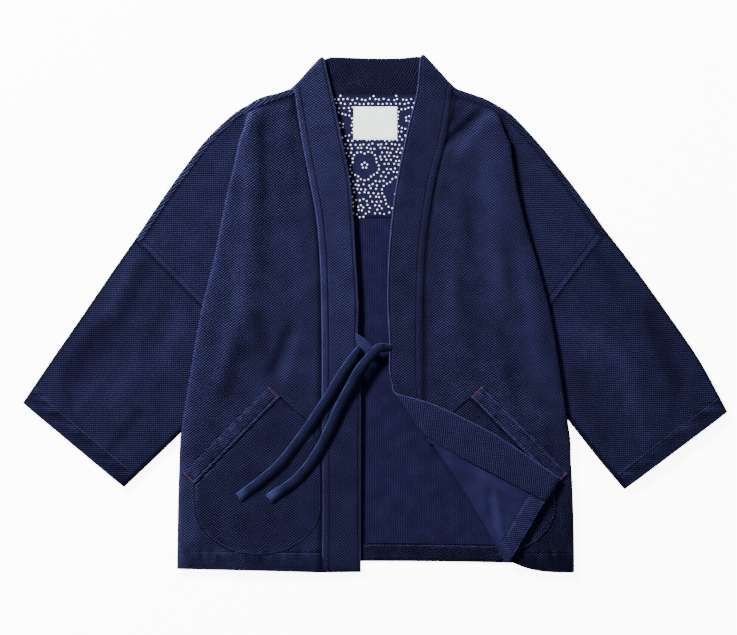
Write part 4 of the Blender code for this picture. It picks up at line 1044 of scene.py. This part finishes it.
def back_grid():
    """Rows of the back from hem to neck; above the sleeve seams both ends roll over the shoulders."""
    right, left = RIGHT_SLEEVE[0], LEFT_SLEEVE[0]
    right_exit, left_exit = RIGHT_FRONT[EXIT_ROW], LEFT_FRONT[EXIT_ROW]
    ends = [
        (-BACK_HALF, BACK_HEM_UP, BACK_HALF + 1, BACK_HEM_UP),
        (-BACK_HALF + 0.6, -330.0, BACK_HALF, -330.0),
        (-BACK_HALF + 2.5, -260.0, BACK_HALF - 1.5, -250.0),
        (2.0 - right_exit.edge_out, right_exit.edge_up - 3, left_exit.edge_out - 5, left_exit.edge_up + 12),
        (-right.under_out + 0.4, right.under_up - 0.8, left.under_out - 0.4, left.under_up - 0.8),
    ]
    lower = []
    for k in range((len(ends) - 1) * BACK_ROWS + 1):
        i = min(k // BACK_ROWS, len(ends) - 2)
        x0, y0, x1, y1 = [lerp(a, b, k / BACK_ROWS - i) for a, b in zip(ends[i], ends[i + 1])]
        arch = BACK_HEM_ARCH * max(0.0, 1 - k / BACK_ROWS)
        row = []
        for a in range(BACK_COLUMNS + 1):
            u = a / BACK_COLUMNS
            y = lerp(y0, y1, u) + arch * math.sin(math.pi * u) ** 0.6
            row.append(Vector((lerp(x0, x1, u), y, BACK_Z)))
        lower.append([row[0]] * (BACK_ROLLS + 2) + row + [row[-1]] * (BACK_ROLLS + 2))
    upper = []
    main_s, turn_s, flap_s = STATIONS
    for s in flap_s[::-1] + turn_s[-1::-4] + main_s[::-2]:
        halves = []
        for side in (-1, 1):
            place, inward = shoulder_point(side, s)
            start = place + inward * (SHOULDER_ROLL + CLOTH / 2)
            points = [Vector((side * start.x, start.y, BACK_Z))]
            way = Vector((side * inward.x, inward.y, 0))
            for angle in turn_steps(BACK_ROLLS):
                points.append(points[0] - way * (SHOULDER_ROLL * math.sin(angle))
                              + Vector((0, 0, SHOULDER_ROLL * (1 - math.cos(angle)))))
            for reach, rise in ((SHOULDER_WRAP - 0.8, 0.4), (SHOULDER_WRAP, -1.2)):
                edge = place + inward * reach
                points.append(Vector((side * edge.x, edge.y, SHOULDER_Z + rise)))
            halves.append(points)
        low, high = halves[0][0], halves[1][0]
        row = []
        for a in range(BACK_COLUMNS + 1):
            point = lerp(low, high, a / BACK_COLUMNS)
            if 0 < a < BACK_COLUMNS and point.y > NECK_FROM:
                neck = neck_seam(point.x) + TUCKED - NECK_FROM
                point.y = NECK_FROM + (point.y - NECK_FROM) * neck / (NECK_TOP - NECK_FROM)
            row.append(point)
        upper.append(halves[0][:0:-1] + row + halves[1][1:])
    beside_neck = []
    for j, point in enumerate(upper[-1]):
        shift = Vector((5.0, 4.0, 0.0)) if j <= BACK_ROLLS + 1 else Vector((-5.0, 4.0, 0.0))
        inside = BACK_ROLLS + 2 <= j < len(upper[-1]) - BACK_ROLLS - 2
        beside_neck.append(point.copy() if inside else point + shift)
    return lower + upper + [beside_neck], len(lower)


def back_cloth(points):
    """Threads, lines of stitches and paler or darker tone of the back; its threads go on round the shoulder
    rolls. The rolls are painted darker as shade, and the strip at the shoulder seam is painted light and
    shade from one side.
    """
    weave, stitching, wear_and_shade = [], [], []
    for p in points:
        rise = max(p.z - BACK_Z, 0.0)
        weave.append((p.x + math.copysign(ROUND_ROLL[0] * rise, p.x), p.y + ROUND_ROLL[1] * rise))
        stitching.append((-SHOULDER_STITCH if p.z > SHOULDER_Z + 0.2 else NO_LINE, NO_LINE))
        if p.z < 2.0:
            wear_and_shade.append(0.0)
        elif p.z < SHOULDER_Z - 3.0:
            wear_and_shade.append(SHOULDER_ROLL_SHADE)
        else:
            wear_and_shade.append(OVER_SHOULDER_LIGHT_AND_SHADE[-1 if p.x < 0 else 1])
    return weave, stitching, wear_and_shade


back_rows, first_upper = back_grid()
back_width = len(back_rows[0])
end_columns = BACK_ROLLS + 2
back_panel = cloth_sheet(
    "sashiko_back", back_rows, *back_cloth([p for row in back_rows for p in row]), [INSIDE, OUTSIDE],
    keep=lambda i, j: i >= first_upper or end_columns <= j < back_width - 1 - end_columns)
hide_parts("back")

# Collar band
# One long strip folded over its seam allowances and topstitched on both edges. It runs from hem to hem
# round the neck, where it folds at each side, and goes over with the turned corner.
NECK_ROLL = 4.6
NECK_BAND = [
    (-100.0, -66.0, 385.2),
    (-55.0, -38.0, 384.3),
    (0.0, 4.0, 383.0),
    (50.0, 38.0, 383.6),
    (95.0, 58.0, 385.6),
]
BAND_ROWS, BAND_ACROSS, BAND_TOPSTITCH = 7, 26, (11.0, -4.0)
TURNED_BAND = math.radians(118)
NECK_FOLDS = {-1: (-121.5, 333.0, -76.5, 382.0), 1: (116.2, 333.0, 68.2, 385.8)}
# The back neck part of the band is painted darker as shade, where it lies low between the raised folds.
BAND_PALE, TURNED_PALE, BAND_DARK, NECK_SHADE = 0.1, 0.05, -0.02, -0.12
# Band edge paleness, seam edge then free edge: partly rubbed, partly painted highlight; the negative value
# paints the shadow beside the left band's seam.
RIGHT_BAND_EDGES, LEFT_BAND_EDGES = (0.45, 0.3), (-0.2, 0.6)


def neck_band_rows():
    """Band rows from fold to fold across the back neck."""
    rows = []
    z = BAND / 2 + 0.1
    for k in range((len(NECK_BAND) - 1) * 5 + 1):
        seam_x, free_x, free_up = through(NECK_BAND, k / 5)
        rows.append((Vector((seam_x, neck_seam(seam_x), z)), Vector((free_x, free_up, z))))
    return rows


def neck_fold(side):
    """Band rows round the fold beside the neck, from the front down to the back."""
    corner = NECK_FOLDS[side]
    a, b = Vector((*corner[:2], 0)), Vector((*corner[2:], 0))
    along = (b - a).normalized()
    outward = Vector((along.y, -along.x, 0)) * side
    top = seam_height(corner[1])
    rows = []
    for angle in [0.0] + turn_steps(9):
        shift = outward * (NECK_ROLL * math.sin(angle))
        shift.z = top - NECK_ROLL * (1 - math.cos(angle))
        rows.append((a + shift, b + shift))
    return rows


def front_band_rows(side, table):
    """Band rows down a front; the right band's free edge hangs a little towards the back."""
    rows = []
    for i in range((len(table) - 1) * BAND_ROWS + 1):
        row = Front(*through(table, i / BAND_ROWS))
        z = seam_height(row.seam_up)
        free_z = z + 0.6 * ease((300 - row.seam_up) / 100)
        if side < 0:
            free_z -= 2.0 * ease((250 - row.seam_up) / 60) + 3.0 * ease((-60 - row.seam_up) / 60)
        rows.append((Vector((side * row.seam_out, row.seam_up, z)),
                     Vector((side * row.free_out, row.free_up, free_z))))
    return rows


def band_rows():
    """The whole band from the right hem round the neck to the turned corner's hem, and its threads."""
    rows = front_band_rows(-1, RIGHT_FRONT)[::-1]
    angles = [0.0] * len(rows)
    rows += neck_fold(-1) + neck_band_rows() + neck_fold(1)[::-1]
    angles += [0.0] * 5 + [None] * (len(rows) - len(angles) - 10) + [0.0] * 5
    rows += front_band_rows(1, LEFT_FRONT)
    seam, free = rows[-1]
    angles += [0.0] * (len(rows) - len(angles) + TURN_ROLL // 2)
    rows += list(zip(fold_over(seam, 0.0), fold_over(free, 0.0)))
    top = rows[-1][0].z
    for i in range(2, (len(CORNER) - 1) * BAND_ROWS + 1):
        t = i / BAND_ROWS
        row = Corner(*through(CORNER, t))
        tip = 1.6 * ease((t - 3) / 3)
        rows.append((Vector((row.seam_out, row.seam_up, top)),
                     Vector((row.free_out, row.free_up, top - tip))))
    return rows, angles + [TURNED_BAND] * (len(rows) - len(angles))


def band_tone_and_shade(middle):
    """The band is palest on the right front; round the back neck, where it lies low between the raised
    folds, it is painted darker as shade.
    """
    round_neck = ease((middle.y - 330) / 14) * ease((94 - abs(middle.x)) / 10)
    right_front = BAND_PALE * ease(-middle.x / 10) * ease((middle.y + 180) / 120)
    turned_out = TURNED_PALE * ease((middle.x - 30) / 30) * ease((-120 - middle.y) / 30)
    return lerp(right_front + turned_out + BAND_DARK, NECK_SHADE, round_neck)


def band_surface(across, along, width):
    """The band swells over its folded allowances near the seam, and is slightly uneven."""
    swell = 1.1 * fade(across - 6.0, 4.0)
    swell += 0.3 * fade(width - 6.0 - across, 5.0)
    uneven = 0.4 * rough(across / 20.0, along / 46.0, 4.0)
    return swell - 0.5 + uneven


def band_edge_wear_and_light(middle):
    """Both edges are paler on the right front, only the free one on the left: partly rubbed pale, partly
    painted highlight where the light from the upper left catches them. The left band's seam edge is
    painted darker as the shadow beside the seam.
    """
    return RIGHT_BAND_EDGES if middle.x < 0 else LEFT_BAND_EDGES


band_strip, band_angles = band_rows()
band = ribbon("sashiko_collar_band", band_strip, BAND, BAND_ACROSS, [OUTSIDE, SLEEVE_CLOTH],
              second_from=band_angles.index(TURNED_BAND), lines=BAND_TOPSTITCH, surface=band_surface,
              wear_and_shade=band_tone_and_shade, edge_wear_and_light=band_edge_wear_and_light, angles=band_angles)
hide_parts("collar_band")

# Pockets
# Patch pockets with a round lower edge, cut on one side by the band seam. Each mouth is bound with
# a strip of the same cloth, held at both ends by a red bar tack.
POCKET, BINDING = 1.6, 2.6
BINDING_WIDTH = 24.0
BINDING_TOP, BINDING_LOW = (151.0, -117.0), (281.0, -249.0)
POCKET_SIDE = [(122.0, -144.0), (106.0, -158.0), (95.0, -175.0),
               (87.0, -195.0), (82.5, -220.0), (81.0, -250.0)]
POCKET_CENTRE, POCKET_RADII = (176.0, -288.0), (95.0, 75.0)
BELOW_CORNER_Z = 19.4
LAY_FROM = {-1: ABOVE_ALL_Z, 1: BELOW_CORNER_Z}
# Gathers by a patch's stitches are paler on their ridges and darker in their hollows, partly rubbed and
# partly painted light and shade; the outline is painted dark as the shade at its folded edge.
PATCH_ROUNDING, GATHERS, GATHER_WEAR_AND_SHADE = 3.5, 0.9, 0.3
PATCH_RIM_SHADE = 0.34


def walk(line, t):
    """Place a fraction of the way along a line of points."""
    lengths = [(q - p).length for p, q in zip(line, line[1:])]
    left = t * sum(lengths)
    for p, q, length in zip(line, line[1:], lengths):
        if left <= length:
            return lerp(p, q, left / length if length else 0.0)
        left -= length
    return line[-1].copy()


def off_line(spot, p, q):
    """Distance of a place from the line between two points."""
    way = q - p
    t = (spot - p).dot(way) / max(way.length_squared, 1e-9)
    return (spot - p - way * max(0.0, min(1.0, t))).length


def lay_patch(name, left, right, rows, columns, tree, thickness, inset, turn, materials, from_z, wear_and_shade=0.0,
              slot="sashiko", edge_wear_and_light=0.14, fall=0.7):
    """A flat piece between two edge lines, laid on what is under it, with its edge rounded down.
    inset is how far its stitches lie from the edge, turn how its threads lie, fall how round its edge is."""
    outline = left + right[::-1]
    segments = list(zip(outline, outline[1:] + outline[:1]))
    grid, weave, stitching, worn_and_shaded = [], [], [], []
    for i in range(rows + 1):
        a, b = walk(left, i / rows), walk(right, i / rows)
        row = []
        for j in range(columns + 1):
            flat = lerp(a, b, j / columns)
            under = on_top([tree], flat.x, flat.y, from_z)
            z = BODY_Z if under is None else under
            edge = min(off_line(flat, p, q) for p, q in segments)
            gathers = rough(flat.x / 8.0, flat.y / 8.0, 9.0)
            gathers *= fade(edge - inset, 4.0)
            z += REST + thickness / 2 + fall * (ease(edge / PATCH_ROUNDING) - 1) + gathers * GATHERS * fall
            row.append(Vector((flat.x, flat.y, z)))
            weave.append(turned(flat.x, flat.y, turn))
            stitching.append((edge - inset, NO_LINE))
            # A paler rim along the folded edge, and painted shade right at the outline.
            rim = edge_wear_and_light * ease((6.0 - edge) / 4.5) - PATCH_RIM_SHADE * ease((1.4 - edge) / 1.2)
            worn_and_shaded.append(wear_and_shade + rim + GATHER_WEAR_AND_SHADE * gathers)
        grid.append(row)
    return cloth_sheet(name, grid, weave, stitching, worn_and_shaded, materials, thickness=thickness, slot=slot)


def mirrored(points, side):
    """Places on the side of the jacket that side names."""
    return [Vector((side * p.x, p.y)) for p in points]


def fold_out(up):
    """How far out the turned corner's fold runs at a height."""
    for a, b in zip(CORNER, CORNER[1:]):
        if up >= b.fold_up:
            return lerp(a.fold_out, b.fold_out, (a.fold_up - up) / (a.fold_up - b.fold_up))
    return CORNER[-1].fold_out


def pocket_edges(side):
    """Inner and outer edge lines of a pocket, from its mouth to its lowest point."""
    top, low = Vector(BINDING_TOP), Vector(BINDING_LOW)
    along = (low - top).normalized()
    down = Vector((along.y, -along.x))
    edge_top = top + down * (BINDING_WIDTH / 2 + SEAM)
    edge_low = low + down * (BINDING_WIDTH / 2 + SEAM)
    cx, cy = POCKET_CENTRE
    rx, ry = POCKET_RADII
    inner = [edge_top] + [Vector(p) for p in POCKET_SIDE]
    low_half = [(rx * math.cos(math.pi * k / 24), ry * math.sin(math.pi * k / 24)) for k in range(13)]
    inner += [Vector((cx - x, cy - y)) for x, y in low_half]
    outer = [edge_low] + [Vector((cx + x, cy - y)) for x, y in low_half]
    if side > 0:
        inner = [Vector((max(p.x, fold_out(p.y) + 3.0), p.y)) for p in inner]
    return mirrored(inner, side), mirrored(outer, side)


def binding_edges(side):
    """The two long edges of a pocket binding."""
    top, low = Vector(BINDING_TOP), Vector(BINDING_LOW)
    half = Vector(((low - top).y, -(low - top).x)).normalized() * (BINDING_WIDTH / 2)
    return mirrored([top + half, low + half], side), mirrored([top - half, low - half], side)


front_trees = {-1: tree_of(front_right), 1: tree_of(front_left)}
pockets, bindings = {}, {}
for side, name in ((-1, "right"), (1, "left")):
    on_front = dict(tree=front_trees[side], materials=[OUTSIDE, INSIDE], from_z=LAY_FROM[side])
    pockets[side] = lay_patch("sashiko_pocket_" + name, *pocket_edges(side), 44, 40, thickness=POCKET,
                              inset=2.2, turn=0.0, wear_and_shade=-0.05, edge_wear_and_light=0.12, fall=0.9, **on_front)
    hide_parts("pocket_" + name)
    bindings[side] = lay_patch("pocket_mouth_binding_" + name, *binding_edges(side), 70, 10,
                               thickness=BINDING, inset=4.5, turn=0.15, wear_and_shade=0.03, edge_wear_and_light=0.2,
                               fall=0.8, **on_front)
    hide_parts("pocket_binding_" + name)

# Bar tacks
# At each end of a binding a dense zigzag of red cotton thread holds all the layers.
TACK_STITCHES, TACK_LONG, TACK_UNEVEN, TACK_INSET, THREAD_RADIUS = 16, 3.2, 0.6, 1.0, 0.38
# Dull red cotton, which stands out only a little from the indigo.
RED_THREAD = plain_material("red_cotton_thread", "#3a1826", 0.75, 0.1)


def add_stitch(bm, start, end, radius):
    """One stitch: a thread that rises from the cloth, lies over it and dives again."""
    way = (end - start).normalized()
    side_way = way.cross(Vector((0, 0, 1))).normalized()
    up = side_way.cross(way)
    rings = []
    for c, lift in ((0.0, -0.7), (0.2, 0.25), (0.8, 0.25), (1.0, -0.7)):
        middle = lerp(start, end, c) + up * (radius * lift)
        ring = []
        for k in range(6):
            angle = math.pi * k / 3
            out = side_way * (radius * math.cos(angle)) + up * (radius * math.sin(angle))
            ring.append(bm.verts.new((middle + out) * MM))
        rings.append(ring)
    for a, b in zip(rings, rings[1:]):
        for k in range(6):
            bm.faces.new((a[k], a[(k + 1) % 6], b[(k + 1) % 6], b[k]))
    bm.faces.new(rings[0])
    bm.faces.new(rings[-1])


def thread_object(name, bm, material):
    """Stitches of one thread as one piece."""
    bmesh.ops.recalc_face_normals(bm, faces=bm.faces)
    mesh = mesh_of(name, bm)
    mesh.shade_smooth()
    return piece_of(name, mesh, [material])


for side, name in ((-1, "right"), (1, "left")):
    tree = [tree_of(bindings[side])]
    tacks = bmesh.new()
    low_edge, high_edge = binding_edges(side)
    for end in (0, 1):
        along = (low_edge[1] - low_edge[0]).normalized() * (1 if end == 0 else -1)
        for k in range(TACK_STITCHES):
            base = lerp(low_edge[end], high_edge[end], (k + 0.5) / TACK_STITCHES) + along * TACK_INSET
            tip = base + along * (TACK_LONG + TACK_UNEVEN * math.sin(k * 2.1))
            heights = [on_top(tree, spot.x, spot.y) for spot in (base, tip)]
            if None not in heights:
                start, stop = [Vector((*spot, z)) for spot, z in zip((base, tip), heights)]
                add_stitch(tacks, start, stop, THREAD_RADIUS)
    thread_object("bar_tacks_" + name, tacks, RED_THREAD)

# Stitching
# Rows of small lockstitches in thin indigo cotton thread, a shade paler than the cloth, round the pockets
# and bindings. The hems and cuffs are sewn the same way.
STITCH_PITCH, STITCH_RADIUS = 4.4, 0.27
STITCH_FROM, STITCH_TO = 0.15, 0.8
POCKET_INSET, BINDING_INSET = 2.6, 3.4
# Thin indigo cotton, matt and a shade paler than the cloth.
INDIGO_THREAD = plain_material("indigo_cotton_thread", "#2d3358", 0.8, 0.05)


def sew(name, lines, trees, from_z=ABOVE_ALL_Z):
    """Rows of stitches along lines, on the highest cloth below from_z."""
    stitches = bmesh.new()
    for line in lines:
        length = sum((q - p).length for p, q in zip(line, line[1:]))
        count = round(length / STITCH_PITCH)
        for k in range(count):
            ends = [walk(line, (k + STITCH_FROM) / count), walk(line, (k + STITCH_TO) / count)]
            heights = [on_top(trees, end.x, end.y, from_z) for end in ends]
            if None not in heights:
                start, stop = [Vector((*end, z)) for end, z in zip(ends, heights)]
                add_stitch(stitches, start, stop, STITCH_RADIUS)
    return thread_object(name, stitches, INDIGO_THREAD)


def inset_towards(line, centre, inset):
    """A line of points moved towards a centre."""
    return [p + (centre - p).normalized() * inset for p in line]


for side, name in ((-1, "right"), (1, "left")):
    inner, outer = pocket_edges(side)
    centre = Vector((side * POCKET_CENTRE[0], POCKET_CENTRE[1] + 60))
    showing = inner[1:] if side < 0 else inner[8:]
    sew("pocket_stitches_" + name, [inset_towards(line, centre, POCKET_INSET) for line in (showing, outer)],
        [front_trees[side], tree_of(pockets[side])], LAY_FROM[side])
    low_line, high_line = binding_edges(side)
    over = (high_line[0] - low_line[0]).normalized() * BINDING_INSET
    sew("binding_stitches_" + name, [[p + over for p in low_line], [p - over for p in high_line]],
        [tree_of(bindings[side])])
for side, name, table in ((-1, "right", RIGHT_SLEEVE), (1, "left", LEFT_SLEEVE)):
    before, end = table[-2], table[-1]
    back_up = Vector((end.top_out - before.top_out, end.top_up - before.top_up)).normalized() * CUFF_HEM
    ends = [Vector((end.top_out, end.top_up)) - back_up, Vector((end.under_out, end.under_up)) - back_up]
    line = mirrored([lerp(*ends, 0.02), lerp(*ends, 0.98)], side)
    sew("cuff_stitches_" + name, [line], [tree_of(sleeves[side])])
front_hem_line = [Vector((-82.0, -388.6 + HEM_WIDTH)), Vector((-290.0, -385.4 + HEM_WIDTH))]
sew("front_hem_stitches", [front_hem_line], [front_trees[-1]])

# Hems that show inside
# The turned-up edge of the back panel, which stitches hold along its upper edge, and the turned-up
# edge of the turned corner. The outside of the cloth shows on both.
HEM_INSET, HEM_STITCH = 16.0, 2.6
INSIDE_JACKET_Z = 8.0
hem_low, hem_high = [], []
for k in range(41):
    u = k / 40
    x = lerp(HEM_INSET - BACK_HALF, BACK_HALF - HEM_INSET, u)
    y = BACK_HEM_UP + BACK_HEM_ARCH * math.sin(math.pi * u) ** 0.6
    hem_low.append(Vector((x, y + 1.0)))
    hem_high.append(Vector((x, y + HEM_WIDTH)))
back_hem = lay_patch("back_hem_turned_up", hem_low, hem_high, 120, 8, tree_of(back_panel), CLOTH, 2.5, 0.3,
                     [OUTSIDE, INSIDE], INSIDE_JACKET_Z, wear_and_shade=-0.14)
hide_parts("back_hem")
sew("back_hem_stitches", [[p - Vector((0, HEM_STITCH)) for p in hem_high]], [tree_of(back_hem)],
    INSIDE_JACKET_Z)
hem_outer = [Vector((252.6, -283.0)), Vector((203.0, -368.0))]
hem_inner = [Vector((227.5, -270.0)), Vector((186.5, -344.0))]
corner_hem = lay_patch("corner_hem_turned_up", hem_outer, hem_inner, 40, 10, front_trees[1], POCKET, 2.5, 0.5,
                       [SLEEVE_CLOTH, INSIDE], ABOVE_ALL_Z, wear_and_shade=0.08, edge_wear_and_light=0.25, fall=0.3)
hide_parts("corner_hem")

# Yoke lining
# Plain-weave cotton facing inside the back neck, dyed navy, with a resist print of small white dots
# round plain plum blossoms. Its lower edge is turned under.
LINING, LABEL = 1.2, 0.8
YOKE_HALF, YOKE_UP = 140.0, 144.0
# Smooth navy cotton, warmer and more even than the sashiko cloth.
LINING_CLOTH = indigo_cotton("plain_weave_printed_cotton_lining", "#0a091a", "#110f26", "#1e1c3c", 1.6, 0.12,
                             slants=(1.571, 0.0), cross=0.2)
# The bare cotton of the resist print, a cool white.
WHITE_PRINT = plain_material("white_resist_print", "#ccd3dd", 0.9)
yoke_lower = [Vector((-YOKE_HALF, YOKE_UP)), Vector((YOKE_HALF, YOKE_UP))]
yoke_upper = [Vector((-YOKE_HALF, 300.0))]
yoke_upper += [Vector((x, neck_seam(x) + 1.5))
               for x in (-112.0, -84.0, -56.0, -28.0, 0.0, 28.0, 56.0, 84.0, 108.0)]
yoke_upper += [Vector((YOKE_HALF, 300.0))]
back_tree = tree_of(back_panel)
yoke = lay_patch("printed_yoke_lining", yoke_lower, yoke_upper, 60, 44, back_tree, LINING, 3.0, 0.0,
                 [LINING_CLOTH], INSIDE_JACKET_Z, slot="lining", edge_wear_and_light=0.0, fall=0.1)
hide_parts("yoke_lining")

Blossom = namedtuple("Blossom", "x y radius turn")
BLOSSOMS = [
    Blossom(-16.0, 222.0, 22.0, 0.3),
    Blossom(34.0, 180.0, 24.0, 0.9),
    Blossom(50.0, 292.0, 18.0, 0.1),
    Blossom(-52.0, 282.0, 20.0, 0.6),
    Blossom(-22.0, 158.0, 14.0, 0.2),
]
DOT_PITCH, DOT_RADIUS, DOT_THICK, DOT_LIFT = 6.8, 1.3, 0.12, 0.02
RING_PITCH, HEART_RADIUS, RING_CLEAR, BLOSSOM_CLEAR = 5.6, 4.2, 5.2, 5.0
DOT_DRIFT_X, DOT_DRIFT_Y = 1.4, 1.2


def petal_reach(blossom, x, y):
    """How far a place lies outside a blossom's outline, negative inside."""
    angle = math.atan2(y - blossom.y, x - blossom.x) + blossom.turn
    outline = blossom.radius * (0.78 + 0.22 * abs(math.cos(2.5 * angle)) ** 0.8)
    return math.hypot(x - blossom.x, y - blossom.y) - outline


def print_dots():
    """Places of the printed dots: rings round the blossoms and an even fill between them."""
    draw = random.Random(12)
    dots = []
    for blossom in BLOSSOMS:
        count = max(9, round(2 * math.pi * blossom.radius * 0.97 / RING_PITCH))
        for k in range(count):
            angle = 2 * math.pi * k / count
            reach = blossom.radius * (0.80 + 0.22 * abs(math.cos(2.5 * (angle + blossom.turn))) ** 0.8)
            dots.append((blossom.x + reach * math.cos(angle), blossom.y + reach * math.sin(angle)))
        for k in range(5):
            angle = 2 * math.pi * k / 5 + blossom.turn
            dots.append((blossom.x + HEART_RADIUS * math.cos(angle),
                         blossom.y + HEART_RADIUS * math.sin(angle)))
    rings = len(dots)
    for i in range(30):
        for j in range(44):
            x = -YOKE_HALF + 4 + (j + 0.5 * (i % 2)) * DOT_PITCH + draw.uniform(-DOT_DRIFT_X, DOT_DRIFT_X)
            y = YOKE_UP + 6 + i * DOT_PITCH * 0.9 + draw.uniform(-DOT_DRIFT_Y, DOT_DRIFT_Y)
            if abs(x) > YOKE_HALF - 4 or y > neck_seam(x) - 1:
                continue
            if any(petal_reach(b, x, y) < BLOSSOM_CLEAR for b in BLOSSOMS):
                continue
            if any(math.hypot(x - p, y - q) < RING_CLEAR for p, q in dots[:rings]):
                continue
            dots.append((x, y))
    return dots


yoke_tree = tree_of(yoke)
dot_bm = bmesh.new()
for x, y in print_dots():
    z = on_top([yoke_tree], x, y, INSIDE_JACKET_Z)
    if z is not None:
        bmesh.ops.create_cone(dot_bm, cap_ends=True, segments=10, radius1=DOT_RADIUS * MM,
                              radius2=DOT_RADIUS * 0.9 * MM, depth=DOT_THICK * MM,
                              matrix=Matrix.Translation(Vector((x, y, z + DOT_LIFT)) * MM))
piece_of("yoke_print_dots", mesh_of("yoke_print_dots", dot_bm), [WHITE_PRINT])

# Label
# Undyed woven cotton tape, left bare, with cut ends folded under and a row of stitches on each side.
LABEL_SIZE = (66.0, 49.5)
LABEL_LOW = 261.0
# Pale cotton with fine ribs, the brightest thing on the jacket.
LABEL_TAPE = indigo_cotton("undyed_woven_cotton_tape", "#b9c6c5", "#d6e0df", "#e8efed", 1.7, 0.2,
                           slants=(1.571, 0.0), cross=0.2)
half, label_top = LABEL_SIZE[0] / 2, LABEL_LOW + LABEL_SIZE[1]
label = lay_patch("bare_woven_label", [Vector((-half, LABEL_LOW)), Vector((half, LABEL_LOW - 0.6))],
                  [Vector((-half + 0.4, label_top)), Vector((half - 0.3, label_top))],
                  30, 24, yoke_tree, LABEL, 3.0, 0.0, [LABEL_TAPE], INSIDE_JACKET_Z, slot="label",
                  edge_wear_and_light=0.0, fall=0.2)
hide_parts("label")

# Knot
# The right tie wraps once over the left one and is pulled tight, so the wrap is a small crumpled leaf
# of cloth.
KNOT_THICK, KNOT_ACROSS, KNOT_PALE, KNOT_STEPS = 2.6, 20, 0.16, 40
KNOT_ROWS = [
    (-29.5, -31.0, 1.2, 20.4),
    (-26.0, -36.0, 4.2, 20.6),
    (-21.5, -42.0, 6.6, 20.4),
    (-16.0, -48.5, 7.4, 19.8),
    (-10.0, -54.0, 6.6, 18.2),
    (-3.0, -58.0, 4.0, 16.6),
]
knot_rows = []
for k in range(KNOT_STEPS + 1):
    t = k / KNOT_STEPS * (len(KNOT_ROWS) - 1)
    x, y, half, z = through(KNOT_ROWS, t)
    ahead, behind = through(KNOT_ROWS, t + 0.1), through(KNOT_ROWS, t - 0.1)
    way = Vector((ahead[0] - behind[0], ahead[1] - behind[1])).normalized()
    middle = Vector((x, y, z))
    side_way = Vector((way.y, -way.x, 0)) * half
    knot_rows.append((middle - side_way, middle + side_way))


def knot_surface(across, along, width):
    """Pulled creases along the wrap."""
    creases = 0.3 * rough(along / 6.0, across / 5.0, 1.0)
    return 0.9 * math.sin(math.pi * across / width) + creases


knot = ribbon("knot_wrap", knot_rows, KNOT_THICK, KNOT_ACROSS, [TIE_CLOTH], surface=knot_surface,
              wear_and_shade=lambda middle: KNOT_PALE)
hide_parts("knot")
